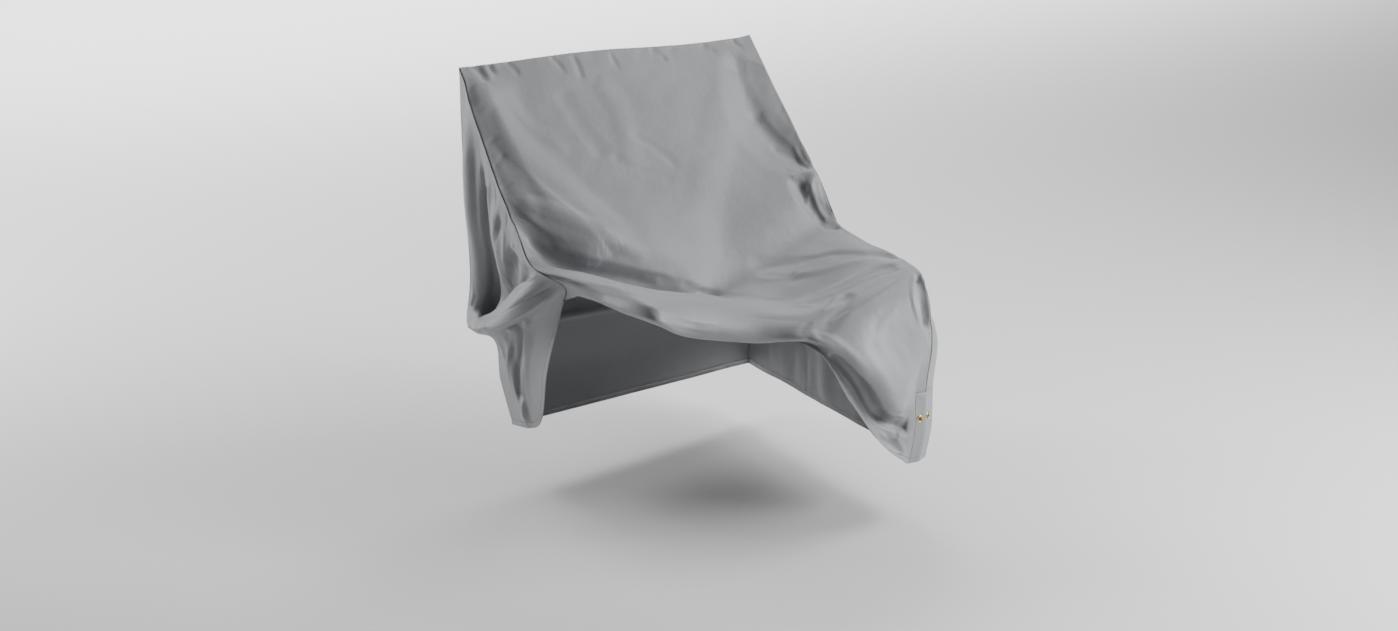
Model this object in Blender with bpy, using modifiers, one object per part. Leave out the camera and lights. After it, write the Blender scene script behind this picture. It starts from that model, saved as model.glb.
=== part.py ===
"""Lounge chair cover of coated cloth, thrown over and drawn up at its front left corner.

The cover hangs as five sewn sheets, each lofted through a few named sections and given 2 mm of
thickness. Two brass eyelets sit in a strip at the front right corner. Units are metres, +Z is up,
+X runs along the front from the drawn-up side to the full-length side, and -Y is the front. The
origin lies on the top seam, in the middle of the width.
"""

import math

import bmesh
import bpy
import numpy as np
from mathutils import Matrix, Vector

MM = 0.001

# Driving dimensions
CLOTH = 0.002            # thickness of every sheet
SEAM_GAP = 0.0009        # clearance between sewn neighbours
TOP_EASE = 0.0008        # extra drop of the back panel under the sharp top seam
SIDE_EASE = 0.0004       # extra clearance of the back panel's sides and the strip's right side
MITRE_LIMIT = 0.006      # furthest that a sheet's side is set back from its seam
LEAST_COSINE = 0.001     # stands in for a cosine of zero

# Finishes
CLOTH_COLOUR = (0.29, 0.295, 0.305)
CLOTH_ROUGHNESS = 0.5
BRASS_COLOUR = (0.72, 0.49, 0.19)
BRASS_ROUGHNESS = 0.25

# Eyelets
EYELET_BORE = 0.0095     # clear hole
EYELET_FLANGE = 0.0186   # across the rolled rim
EYELET_WALL = 0.0009     # wall of the barrel
EYELET_DOME = 0.0013     # rise of the rim over the cloth
EYELET_ROUND = 0.0005    # rounding of the rims' edges
EYELET_GAP = 0.0005      # clearance of an eyelet in its cloth
EYELET_HEIGHT = -0.7235  # middle of both eyelets
EYELET_TURN_STEPS = 16
STRIP_REACH = 0.028      # width of the strip on each side of the corner
STRIP_TURN = math.radians(28)    # turn of the cloth round the corner

# Every table below is in millimetres.
# Front panel: a row for each section from the top seam to the hem, a column for each line down it.
# Lines:             left   arm    arm    left   middle seat   right  right  strip  right
#                    seam   outer  corner seat          edge   seat   arm    edge   seam
FRONT_X = (
    ("top_seam",   -395, -300, -200, -105,    5,  105,  200,  300,  358,  386),
    ("upper",      -395, -298, -196, -102,    8,  106,  200,  300,  358,  386),
    ("mid_slope",  -395, -296, -192, -100,   10,  108,  202,  301,  359,  387),
    ("step_edge",  -395, -300, -202, -104,    8,  112,  206,  303,  361,  388),
    ("slope_foot", -394, -308, -212, -106,    8,  115,  210,  305,  363,  390),
    ("seat_back",  -392, -308, -222, -110,    5,  112,  208,  307,  364,  392),
    ("crest",      -387, -300, -236, -125,   -5,  105,  198,  306,  365,  393),
    ("turn",       -370, -308, -256, -138,  -15,  102,  192,  302,  360,  391),
    ("drop",       -352, -318, -272, -145,  -20,  100,  182,  298,  352,  380),
    ("ridge",      -342, -322, -280, -148,  -22,   98,  178,  290,  346,  374),
    ("recess",     -336, -320, -276, -147,  -22,   98,  175,  292,  346,  374),
    ("flap",       -333, -300, -262, -145,  -20,   97,  171,  300,  346,  374),
    ("hem",        -334, -272, -240, -140,  -15,   96,  166,  312,  340,  364),
)
FRONT_Y = (
    ("top_seam",      0,    0,    0,    0,    0,    0,    0,    0,    0,    0),
    ("upper",      -105, -108, -112, -114, -115, -116, -114, -110, -106, -104),
    ("mid_slope",  -196, -206, -218, -226, -230, -232, -228, -220, -212, -208),
    ("step_edge",  -252, -338, -382, -414, -438, -385, -370, -345, -325, -318),
    ("slope_foot", -300, -342, -388, -424, -456, -455, -440, -420, -400, -392),
    ("seat_back",  -358, -420, -475, -518, -545, -545, -540, -530, -522, -518),
    ("crest",      -385, -490, -600, -625, -650, -670, -690, -690, -690, -690),
    ("turn",       -410, -535, -690, -680, -695, -750, -780, -784, -778, -766),
    ("drop",       -422, -552, -730, -705, -722, -790, -830, -842, -838, -828),
    ("ridge",      -424, -556, -742, -688, -722, -812, -848, -850, -828, -818),
    ("recess",     -418, -548, -725, -665, -705, -796, -812, -814, -826, -818),
    ("flap",       -410, -515, -680, -622, -670, -788, -808, -812, -826, -818),
    ("hem",        -402, -480, -630, -575, -625, -800, -822, -824, -822, -812),
)
FRONT_Z = (
    ("top_seam",     15,   14,   14,   14,   10,    3,   -2,   -4,   -3,    0),
    ("upper",      -118, -119, -121, -122, -122, -119, -116, -108,  -97,  -90),
    ("mid_slope",  -208, -218, -230, -238, -242, -240, -236, -218, -195, -178),
    ("step_edge",  -262, -332, -373, -406, -440, -392, -360, -318, -292, -278),
    ("slope_foot", -313, -402, -436, -460, -472, -452, -425, -392, -372, -362),
    ("seat_back",  -366, -374, -400, -432, -454, -466, -440, -405, -388, -383),
    ("crest",      -372, -374, -382, -402, -436, -446, -425, -395, -385, -382),
    ("turn",       -382, -377, -372, -412, -452, -448, -432, -408, -400, -396),
    ("drop",       -394, -388, -378, -445, -475, -468, -488, -548, -556, -545),
    ("ridge",      -405, -400, -398, -472, -496, -492, -562, -680, -672, -660),
    ("recess",     -416, -408, -412, -485, -506, -503, -578, -710, -705, -695),
    ("flap",       -428, -404, -408, -480, -503, -510, -606, -758, -752, -748),
    ("hem",        -444, -402, -405, -475, -500, -520, -640, -815, -832, -832),
)
# Folds of a sheet: start, middle and end, each as section and line counted in the tables above,
# then half width and height in millimetres (a height under zero is a trough).
FRONT_FOLDS = (
    ("pull_from_corner",  (0.30, 0.40), (1.40, 0.85), (2.80, 2.05),  50,   8),
    ("facet_by_seam",     (0.20, 0.20), (1.40, 0.40), (2.70, 0.45),  45,  -7),
    ("streak_over_step",  (2.45, 0.35), (2.60, 1.10), (2.80, 1.90),  28,   6),
    ("facet_right",       (0.45, 7.80), (1.50, 7.00), (2.70, 8.30),  70,  -9),
    ("pouch",             (2.80, 8.35), (3.45, 8.70), (3.90, 8.75),  35,  12),
    ("pouch_fold",        (2.80, 7.60), (3.25, 7.60), (4.10, 8.60),  26, -10),
    ("seat_trough",       (6.40, 8.70), (4.96, 6.90), (3.00, 4.70),  40,  -9),
    ("seat_ridge",        (6.10, 8.45), (5.50, 6.90), (4.70, 5.90),  28,   5),
    ("corner_trough",     (6.20, 8.25), (5.90, 6.90), (5.10, 5.10),  28,  -8),
    ("corner_dent",       (7.15, 8.85), (7.40, 8.45), (7.75, 8.65),  22,  -9),
    ("edge_crease",       (6.40, 6.20), (7.40, 5.50), (8.50, 4.90),  24,  -5),
)
FRONT_ROW_STEPS = (6, 5, 5, 3, 3, 3, 3, 3, 2, 2, 2, 3)
FRONT_COLUMN_STEPS = (4, 5, 4, 4, 4, 4, 4, 4, 1)
FOLD_STEPS = 16          # parts that each half of a fold's line is cut into
FOLD_WINDOW = 8          # furthest that a fold reaches, in grid cells
FOLD_END_FADE = 2.5      # how fast a fold dies away from full height at its ends
SLOPE_FOOT = 4           # the left panel's top edge ends at this section of the front panel
TURN_ROW = 7             # the right panel's top edge ends at this section
STRIP_ROW = 9            # the strip's top edge lies on this section
FLAT_ROW = 11            # the strip is flat round its eyelets down to this section

# Left side panel: a row for each level from the seam to the hem; columns run from rear to front.
# Lines:          rear  back  middle front front
#                       fold         fold
LEFT_X = (
    ("seam",       -395, -395, -395, -395, -394),
    ("hanging",    -395, -390, -396, -390, -392),
    ("valley",     -392, -380, -380, -380, -389),
    ("crest",      -398, -392, -398, -398, -383),
    ("front",      -406, -416, -424, -420, -364),
    ("under",      -394, -410, -418, -410, -347),
    ("tail_top",   -356, -362, -366, -362, -339),
    ("tail_mid",   -346, -346, -344, -342, -333),
    ("hem",        -345, -345, -345, -345, -334),
)
LEFT_Y = (
    ("seam",          0,  -95, -180, -250, -300),
    ("hanging",      -3, -100, -186, -268, -358),
    ("valley",       -6, -104, -194, -280, -376),
    ("crest",       -10, -108, -202, -292, -393),
    ("front",       -30, -130, -226, -318, -414),
    ("under",       -48, -136, -230, -322, -423),
    ("tail_top",    -50, -124, -222, -315, -421),
    ("tail_mid",    -76, -145, -236, -312, -410),
    ("hem",        -136, -212, -276, -332, -402),
)
LEFT_Z = (
    ("seam",         15, -108, -192, -260, -313),
    ("hanging",    -280, -330, -348, -350, -366),
    ("valley",     -560, -545, -492, -436, -370),
    ("crest",      -582, -548, -488, -432, -375),
    ("front",      -608, -568, -516, -462, -386),
    ("under",      -622, -588, -540, -490, -400),
    ("tail_top",   -640, -600, -548, -498, -411),
    ("tail_mid",   -740, -710, -668, -590, -428),
    ("hem",        -836, -818, -792, -640, -444),
)
LEFT_FOLDS = (
    ("rear_ridge",        (0.40, 0.50), (1.20, 0.45), (1.90, 0.40),  28,   8),
    ("deep_fold",         (0.50, 1.10), (1.30, 1.05), (2.00, 1.00),  32, -18),
    ("middle_ridge",      (0.50, 1.80), (1.20, 1.75), (1.90, 1.60),  28,   8),
    ("slant_fold",        (1.00, 3.00), (1.50, 2.40), (2.00, 1.70),  28, -12),
    ("tail_ridge",        (6.00, 1.00), (7.00, 1.10), (7.90, 1.20),  28,   9),
    ("tail_pocket",       (6.00, 1.90), (7.00, 1.80), (7.80, 1.70),  28, -12),
)
LEFT_ROW_STEPS = (3, 2, 2, 3, 3, 2, 3, 3)
LEFT_COLUMN_STEPS = (6, 5, 5, 3)

# Right side panel: columns run from the front corner to the rear.
# Lines:         corner strip front middle rear
#                       edge
RIGHT_X = (
    ("seam",        385,  393,  393,  388,  386),
    ("upper",       377,  398,  398,  394,  388),
    ("lower",       374,  399,  402,  392,  390),
    ("hem",         364,  388,  396,  394,  390),
)
RIGHT_Y = (
    ("seam",       -752, -690, -520, -318,    0),
    ("upper",      -808, -792, -590, -310,    0),
    ("lower",      -818, -805, -620, -310,    0),
    ("hem",        -812, -799, -600, -310,    0),
)
RIGHT_Z = (
    ("seam",       -393, -382, -383, -278,    0),
    ("upper",      -545, -540, -540, -470, -290),
    ("lower",      -690, -692, -690, -660, -590),
    ("hem",        -832, -836, -850, -856, -860),
)
RIGHT_FOLDS = (
    ("puff_by_seam",      (0.33, 2.30), (0.33, 2.75), (0.33, 3.20),  55,  24),
    ("front_fold",        (0.60, 1.60), (1.60, 1.65), (3.00, 1.70),  55, -12),
    ("front_ridge",       (0.80, 2.10), (1.80, 2.15), (3.00, 2.20),  50,   9),
    ("middle_fold",       (0.50, 2.70), (1.60, 2.75), (3.00, 2.80),  50, -11),
    ("rear_ridge",        (0.40, 3.30), (1.50, 3.32), (3.00, 3.35),  45,   8),
)
RIGHT_ROW_STEPS = (3, 4, 5)
RIGHT_COLUMN_STEPS = (1, 5, 6, 16)


def table_points(x_rows, y_rows, z_rows):
    """Return the tables' points in metres, as an array of rows, columns and axes."""
    axes = [np.array([row[1:] for row in rows], float) for rows in (x_rows, y_rows, z_rows)]
    return np.stack(axes, axis=-1) * MM


def smooth(points, steps):
    """Return a smooth run through points (first axis), with steps[i] parts after point i."""
    leg = np.diff(points, axis=0)
    length = np.linalg.norm(leg, axis=-1, keepdims=True)
    unit = leg / length
    heading = np.concatenate((unit[:1], unit[:1], unit[1:]))[:len(points)]
    heading[-1] = unit[-1]
    near, far = length[:-1], length[1:]
    heading[1:-1] = (unit[:-1] * far + unit[1:] * near) / (near + far)
    run = []
    for i, count in enumerate(steps):
        for f in np.arange(count) / count:
            run.append(points[i] * (2 * f**3 - 3 * f**2 + 1) + points[i + 1] * (3 * f**2 - 2 * f**3)
                       + length[i] * (heading[i] * (f**3 - 2 * f**2 + f) + heading[i + 1] * (f**3 - f**2)))
    run.append(points[-1])
    return np.array(run)


def loft(points, row_steps, column_steps):
    """Return a fine grid of points lofted through a coarse one."""
    down = smooth(points, row_steps)
    return smooth(down.swapaxes(0, 1), column_steps).swapaxes(0, 1)


def positions(steps):
    """Return where each fine point lies, counted in the rows or columns of a table."""
    return np.concatenate([i + np.arange(n) / n for i, n in enumerate(steps)] + [[len(steps)]])


def folded(grid, folds, row_steps, column_steps):
    """Return the grid raised or sunk along each fold of a table."""
    rows, columns = grid.shape[:2]
    row_index, column_index = np.mgrid[:rows, :columns]
    normals = outward(grid)
    lift = np.zeros((rows, columns))
    for _, start, middle, end, half_width, height in folds:
        along = np.linspace(0, 2, 2 * FOLD_STEPS + 1)
        r = np.interp(np.interp(along, (0, 1, 2), (start[0], middle[0], end[0])),
                      positions(row_steps), np.arange(rows))
        c = np.interp(np.interp(along, (0, 1, 2), (start[1], middle[1], end[1])),
                      positions(column_steps), np.arange(columns))
        r0, c0 = np.minimum(r.astype(int), rows - 2), np.minimum(c.astype(int), columns - 2)
        rf, cf = (r - r0)[:, None], (c - c0)[:, None]
        path = ((grid[r0, c0] * (1 - cf) + grid[r0, c0 + 1] * cf) * (1 - rf)
                + (grid[r0 + 1, c0] * (1 - cf) + grid[r0 + 1, c0 + 1] * cf) * rf)
        distance = np.linalg.norm(grid[:, :, None] - path, axis=-1)
        far = np.maximum(abs(row_index[..., None] - r), abs(column_index[..., None] - c)) > FOLD_WINDOW
        distance[far] = np.inf
        nearest = distance.argmin(-1)
        reach = np.clip(distance.min(-1) / (half_width * MM), 0, 1)
        fade = np.sin(math.pi / 2 * np.clip(along * (2 - along) * FOLD_END_FADE, 0, 1))
        lift += height * MM * (1 - reach**2) ** 2 * fade[nearest]
    return grid + normals * lift[..., None]


def outward(grid):
    """Return the unit normals of a grid whose columns run to the left hand as its rows run down."""
    face = unit_rows(np.cross(grid[1:, 1:] - grid[:-1, :-1], grid[:-1, 1:] - grid[1:, :-1]))
    normal = np.zeros_like(grid)
    for rows in (slice(None, -1), slice(1, None)):
        for columns in (slice(None, -1), slice(1, None)):
            normal[rows, columns] += face
    return unit_rows(normal)


def unit_rows(vectors):
    """Return the vectors at unit length."""
    return vectors / np.linalg.norm(vectors, axis=-1, keepdims=True)


def drawn_to(grid, edge, side):
    """Return the grid with one side drawn to the edge, the shift fading out across the grid."""
    turned = {"top": grid, "left": grid.swapaxes(0, 1), "right": grid.swapaxes(0, 1)[::-1]}[side]
    fade = np.linspace(1, 0, len(turned))[:, None, None]
    drawn = turned + fade * (edge - turned[0])
    return {"top": drawn, "left": drawn.swapaxes(0, 1), "right": drawn[::-1].swapaxes(0, 1)}[side]


def setback(edge, own_normals, partner_normals, side, ease=0.0):
    """Return the shifts that keep a sheet's side clear of the sheet that it is sewn to."""
    leg = unit_rows(np.diff(edge, axis=0))
    after = np.concatenate((leg, leg[-1:]))
    along = unit_rows(after + np.concatenate((leg[:1], leg)))
    bend = (after * along).sum(-1)
    inward = np.cross(own_normals, along) if side == "left" else np.cross(along, own_normals)
    cosine = (own_normals * partner_normals).sum(-1)
    sine = -(inward * partner_normals).sum(-1)
    gap = SEAM_GAP + ease
    butt = (gap + CLOTH * np.maximum(sine, 0)) / np.maximum(cosine, LEAST_COSINE)
    under = (CLOTH + gap - CLOTH * np.minimum(cosine, 0)) / np.maximum(sine, LEAST_COSINE)
    return inward * (np.minimum(np.minimum(butt, under), MITRE_LIMIT) / bend)[:, None]


def at_heights(edge, heights):
    """Return the points of a falling edge at the heights, stretched to fit its own ends."""
    share = (heights[0] - heights) / (heights[0] - heights[-1])
    drop = (edge[0, 2] - edge[:, 2]) / (edge[0, 2] - edge[-1, 2])
    return np.stack([np.interp(share, drop, axis) for axis in edge.T], axis=-1)


def strip_row():
    """Return the front grid's row on which the strip starts."""
    return sum(FRONT_ROW_STEPS[:STRIP_ROW])


def front_panel():
    """Return the grid of the top and front panel, straight beside the eyelets."""
    grid = loft(table_points(FRONT_X, FRONT_Y, FRONT_Z), FRONT_ROW_STEPS, FRONT_COLUMN_STEPS)
    grid = folded(grid, FRONT_FOLDS, FRONT_ROW_STEPS, FRONT_COLUMN_STEPS)
    first, last = strip_row(), sum(FRONT_ROW_STEPS[:FLAT_ROW])
    grid[first:last + 1, -1, :2] = grid[last, -1, :2]
    grid[first:, -2] = grid[first:, -1] - np.array((STRIP_REACH, 0, 0))
    return grid


def left_panel(front):
    """Return the grid of the left side panel, sewn to the front panel's left edge."""
    foot = sum(FRONT_ROW_STEPS[:SLOPE_FOOT])
    seam, seam_normals = front[:, 0], outward(front)[:, 0]
    grid = loft(table_points(LEFT_X, LEFT_Y, LEFT_Z), LEFT_ROW_STEPS, LEFT_COLUMN_STEPS)
    grid = drawn_to(grid, seam[:foot + 1], "top")
    grid = drawn_to(grid, seam[foot:], "right")
    grid = folded(grid, LEFT_FOLDS, LEFT_ROW_STEPS, LEFT_COLUMN_STEPS)
    grid[0], grid[:, -1] = seam[:foot + 1], seam[foot:]
    own = outward(grid)
    own[0, -1] = own[1, -2]
    top = setback(seam[:foot + 1], own[0], seam_normals[:foot + 1], "top")
    front_side = setback(seam[foot:], own[:, -1], seam_normals[foot:], "right")
    grid[0, :-1] += top[:-1]
    grid[:, -1] += front_side
    return grid


def right_panel(front):
    """Return the grid of the right side panel, sewn to the front panel's right edge."""
    turn = sum(FRONT_ROW_STEPS[:TURN_ROW])
    seam, seam_normals = front[:, -1], outward(front)[:, -1]
    grid = loft(table_points(RIGHT_X, RIGHT_Y, RIGHT_Z), RIGHT_ROW_STEPS, RIGHT_COLUMN_STEPS)
    grid = drawn_to(grid, seam[turn::-1], "top")
    grid = drawn_to(grid, seam[turn:], "left")
    grid = folded(grid, RIGHT_FOLDS, RIGHT_ROW_STEPS, RIGHT_COLUMN_STEPS)
    grid[0], grid[:, 0] = seam[turn::-1], seam[turn:]
    first = strip_row() - turn
    grid[first:, 1] = grid[first:, 0] + STRIP_REACH * np.array((math.cos(STRIP_TURN), math.sin(STRIP_TURN), 0))
    own = outward(grid)
    top = setback(seam[turn::-1], own[0], seam_normals[turn::-1], "top")
    front_side = setback(seam[turn:], own[:, 0], seam_normals[turn:], "left")
    grid[0, 1:] += top[1:]
    grid[:, 0] += front_side
    return grid


def back_panel(front, left, right):
    """Return the grid of the back panel, sewn under the top seam and between the side panels."""
    left_edge = left[:, 0]
    right_edge = at_heights(right[:, -1], left_edge[:, 2])
    top = front[0, ::-2]
    across = (top[:, 0] - top[0, 0]) / (top[-1, 0] - top[0, 0])
    grid = right_edge[:, None] * (1 - across)[:, None] + left_edge[:, None] * across[:, None]
    grid = drawn_to(grid, top, "top")
    own = outward(grid)
    partners = (
        ("left", np.broadcast_to((1.0, 0.0, 0.0), right_edge.shape), (slice(None), 0)),
        ("right", outward(left)[:, 0], (slice(None), -1)),
        ("top", outward(front)[0, ::-2], (0, slice(None))),
    )
    shifts = [(place, setback(grid[place], own[place], normals, side, SIDE_EASE))
              for side, normals, place in partners]
    for place, shift in shifts:
        grid[place] += shift
    grid[0, :, 2] -= TOP_EASE
    return grid


def strip_grid(front, right):
    """Return the grid of the corner strip, a gap inside the cells that both panels leave out."""
    first = strip_row()
    side_first = first - sum(FRONT_ROW_STEPS[:TURN_ROW])
    grid = np.stack((front[first:, -2], front[first:, -1], right[side_first:, 1]), axis=1)
    own = outward(grid)
    left_side = setback(grid[:, 0], own[:, 0], outward(front)[first:, -2], "left")
    right_side = setback(grid[:, 2], own[:, 2], outward(right)[side_first:, 1], "right",
                         SIDE_EASE)
    grid[:, 0] += left_side
    grid[:, 2] += right_side
    grid[0] += SEAM_GAP * unit_rows(grid[1] - grid[0])
    return grid


def material(name, colour, roughness, metallic=0.0):
    """Return a new plain material."""
    finish = bpy.data.materials.new(name)
    finish.use_nodes = True
    shader = finish.node_tree.nodes["Principled BSDF"]
    shader.inputs["Base Color"].default_value = (*colour, 1)
    shader.inputs["Roughness"].default_value = roughness
    shader.inputs["Metallic"].default_value = metallic
    finish.diffuse_color = (*colour, 1)
    return finish


def cloth_object(name, grid, left_out=()):
    """Return a sheet whose outer face follows the grid, less the cells left out."""
    rows, columns = grid.shape[:2]
    faces = [(r * columns + c, (r + 1) * columns + c, (r + 1) * columns + c + 1, r * columns + c + 1)
             for r in range(rows - 1) for c in range(columns - 1) if (r, c) not in left_out]
    mesh = bpy.data.meshes.new(name)
    mesh.from_pydata(grid.reshape(-1, 3).tolist(), [], faces)
    body = bmesh.new()
    body.from_mesh(mesh)
    bmesh.ops.delete(body, geom=[v for v in body.verts if not v.link_faces], context="VERTS")
    body.to_mesh(mesh)
    body.free()
    mesh.shade_smooth()
    mesh.materials.append(material(name + "_cloth", CLOTH_COLOUR, CLOTH_ROUGHNESS))
    sheet = bpy.data.objects.new(name, mesh)
    thickness = sheet.modifiers.new("cloth thickness", "SOLIDIFY")
    thickness.thickness = CLOTH
    thickness.offset = -1
    return sheet


def eyelet_places(front):
    """Return the name and the matrix of each eyelet: local Z points out of the cloth."""
    corner = Vector(front[strip_row(), -1])
    places = []
    for name, side, turn in (("eyelet_a", -1, 0.0), ("eyelet_b", 1, STRIP_TURN)):
        along = Vector((math.cos(turn), math.sin(turn), 0))
        normal = Vector((math.sin(turn), -math.cos(turn), 0))
        centre = corner + side * STRIP_REACH / 2 * along - CLOTH / 2 * normal
        centre.z = EYELET_HEIGHT
        axes = Matrix((along, normal.cross(along), normal)).transposed().to_4x4()
        places.append((name, Matrix.Translation(centre) @ axes))
    return places


def eyelet_object(name, place):
    """Return a turned eyelet with a domed rim in front and a flat one behind."""
    bore, rim = EYELET_BORE / 2, EYELET_FLANGE / 2
    wall, face = bore + EYELET_WALL, CLOTH / 2 + EYELET_GAP
    back = face + EYELET_WALL
    top = face + EYELET_DOME
    profile = (
        (bore, top - EYELET_ROUND), (bore + EYELET_ROUND, top), ((bore + rim) / 2, top),
        (rim - EYELET_ROUND, top), (rim, top - EYELET_ROUND), (rim, face), (wall, face), (wall, -face),
        (rim, -face), (rim - EYELET_ROUND, -back), (bore + EYELET_ROUND, -back), (bore, -back + EYELET_ROUND),
    )
    mesh = bpy.data.meshes.new(name)
    count = len(profile)
    mesh.from_pydata([(x, 0, z) for x, z in profile], [(i, (i + 1) % count) for i in range(count)], [])
    mesh.materials.append(material(name + "_brass", BRASS_COLOUR, BRASS_ROUGHNESS, 1.0))
    ring = bpy.data.objects.new(name, mesh)
    ring.matrix_world = place
    turn = ring.modifiers.new("turned", "SCREW")
    turn.steps = turn.render_steps = EYELET_TURN_STEPS
    turn.use_merge_vertices = True
    turn.merge_threshold = 0.00001
    turn.use_smooth_shade = True
    return ring


def hole_cutter(name, place):
    """Return the round cutter of one eyelet's hole in the cloth."""
    mesh = bpy.data.meshes.new(name)
    body = bmesh.new()
    radius = EYELET_BORE / 2 + EYELET_WALL + EYELET_GAP
    bmesh.ops.create_cone(body, cap_ends=True, segments=EYELET_TURN_STEPS, radius1=radius, radius2=radius,
                          depth=10 * CLOTH)
    body.to_mesh(mesh)
    body.free()
    cutter = bpy.data.objects.new(name, mesh)
    cutter.matrix_world = place
    cutter.hide_render = True
    cutter.display_type = "WIRE"
    return cutter


def main():
    """Build the cover."""
    for item in list(bpy.data.objects):
        bpy.data.objects.remove(item, do_unlink=True)
    parts = bpy.data.collections.new("lounge_chair_cover")
    cutters = bpy.data.collections.new("cutters")
    for collection in (parts, cutters):
        bpy.context.scene.collection.children.link(collection)

    front = front_panel()
    left = left_panel(front)
    right = right_panel(front)
    back = back_panel(front, left, right)
    turn = sum(FRONT_ROW_STEPS[:TURN_ROW])
    front_gap = {(r, front.shape[1] - 2) for r in range(strip_row(), front.shape[0])}
    right_gap = {(r, 0) for r in range(strip_row() - turn, right.shape[0])}
    strip = cloth_object("eyelet_strip", strip_grid(front, right))
    for sheet in (cloth_object("front_panel", front, front_gap), cloth_object("left_side_panel", left),
                  cloth_object("right_side_panel", right, right_gap), cloth_object("back_panel", back), strip):
        parts.objects.link(sheet)
    for name, place in eyelet_places(front):
        parts.objects.link(eyelet_object(name, place))
        cutter = hole_cutter(name + "_hole", place)
        cutters.objects.link(cutter)
        cut = strip.modifiers.new(name + " hole", "BOOLEAN")
        cut.object = cutter
        cut.operation = "DIFFERENCE"


main()
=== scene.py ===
"""Looks of the lounge chair cover.

Coated cloth panels in their folds, with sewn seams, hems, stitching and two brass eyelets, in a
plain pale studio. Units are metres, in the part's own frame: +Z is up, +X runs along the front
from the drawn-up side to the full-length side, and -Y is the front.
"""

from __future__ import annotations

import logging
import math
from dataclasses import dataclass, field
from enum import Enum

import bmesh
import bpy
import numpy as np
from mathutils import Matrix, Vector


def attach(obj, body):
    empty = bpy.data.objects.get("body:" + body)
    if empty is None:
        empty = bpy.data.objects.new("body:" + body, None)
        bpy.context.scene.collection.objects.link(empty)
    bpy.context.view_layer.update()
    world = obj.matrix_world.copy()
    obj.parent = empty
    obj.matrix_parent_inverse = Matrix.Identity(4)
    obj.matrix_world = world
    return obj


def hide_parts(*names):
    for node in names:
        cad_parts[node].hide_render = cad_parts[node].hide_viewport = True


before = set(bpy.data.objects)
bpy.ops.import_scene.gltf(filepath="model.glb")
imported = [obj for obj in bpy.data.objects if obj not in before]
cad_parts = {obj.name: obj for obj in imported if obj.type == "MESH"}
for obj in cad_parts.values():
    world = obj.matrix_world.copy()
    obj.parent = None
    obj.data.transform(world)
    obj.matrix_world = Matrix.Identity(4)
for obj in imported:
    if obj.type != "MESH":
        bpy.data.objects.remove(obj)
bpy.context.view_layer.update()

LOG = logging.getLogger("lounge_chair_cover")
MM = 0.001
NO_LENGTH = 1e-12        # stands in for a length of nothing where a vector is divided by it
Point2 = tuple[float, float]
Point3 = tuple[float, float, float]
Rows = tuple[tuple, ...]

# Cloth
CLOTH = 0.0011           # thickness of the cloth that shows
FINENESS = 5             # fine cells along each step of the tables
CELL = 0.0035            # smallest usual spacing of the fine grid
FOLD_STEPS = 48          # parts that each half of a fold's line is cut into
FOLD_WINDOW = 8          # furthest that a fold reaches, in the tables' steps
FOLD_WINDOW_MARGIN = 3   # fine cells by which a fold's window is wider than the fold
FOLD_END_RISE = 2.5      # how soon a fold reaches its full height from either end
# Places along a fold's line: 0 at its start, 1 at its middle and 2 at its end
FOLD_PLACES = np.linspace(0, 2, 2 * FOLD_STEPS + 1)

# Seams and hems: distance from the edge and lift of the cloth there, in millimetres
SEAM_PROFILE = ((0.0, 0.0), (1.3, 0.15), (3.0, 0.55), (6.0, 0.25), (10.5, 0.0))
SEAM_DEPTH = 0.0016      # how deep the sewn line lies
SEAM_CELLS = 10          # how many rows beside a seam are spaced anew
SEAM_MARGIN = 4 * MM     # cloth kept between a profile's last row and the first old one
LEAST_SLANT = 0.3        # least sine of the angle between an edge and the lines that cross it
HEM_PROFILE = ((0.0, -0.3), (1.2, 0.3), (3.6, 0.6), (8.0, 0.6), (11.0, 0.35), (12.4, -0.75),
               (14.0, -0.1), (18.0, 0.1), (25.0, 0.0), (33.0, 0.0), (42.0, 0.0), (52.0, 0.0))
HEM_CELLS = 3 * FINENESS       # how many rows a hem takes the place of
LEFT_HEM_CELLS = 6 * FINENESS  # the same on the left side, whose rows lie closer at the tail
HEM_STITCH_ROW = 5       # the profile's row on which the stitches lie
HEM_ROWS_ADDED = 2       # how many more rows a hem has than the cloth it takes the place of
JOIN_CELLS = 8           # rows in which a panel is drawn to the edge that it is sewn to

# Painted shade in sewn lines: how far the cloth's colour goes towards its shaded colour, 0 to 1
PAINTED_SEAM_SHADE = 1.0
PAINTED_SHADE_BESIDE_SEAM = 0.35
PAINTED_STITCH_SHADE = 0.45

# Eyelets and the strip that holds them
EYELET_BORE = 0.0095
EYELET_FLANGE = 0.0186
EYELET_HEIGHT = -0.7235
EYELET_SINK = 0.001      # depth of an eyelet's middle under the face of the strip
HOLE_PLAY = 0.0012       # how much further a hole in the strip reaches than the eyelet's bore
CUTTER_LENGTH = 0.03
STRIP_REACH = 0.028      # width of the strip on each side of the corner
STRIP_TURN = math.radians(28)  # angle between the strip's two sides
STRIP_CELLS = 2 * FINENESS     # columns of the strip on each side of the corner
FLAT_FADE_ABOVE = 3 * FINENESS   # rows above the strip in which the cloth turns flat
FLAT_FADE_BESIDE = 4 * FINENESS  # columns beside the strip in which it turns back

# Back panel: rows and columns in which its waves fade towards its sewn edges
BACK_FADE_ROWS = 12
BACK_FADE_COLUMNS = 10

# How many steps lie between one row or column of a table and the next
FRONT_ROW_STEPS = (6, 5, 5, 3, 3, 3, 3, 3, 2, 2, 2, 3)
FRONT_COLUMN_STEPS = (4, 5, 4, 4, 4, 4, 4, 4, 2)
LEFT_ROW_STEPS = (3, 2, 2, 3, 3, 2, 3, 3)
LEFT_COLUMN_STEPS = (6, 5, 5, 3)
RIGHT_ROW_STEPS = (3, 4, 5)
RIGHT_COLUMN_STEPS = (2, 5, 6, 15)

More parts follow.
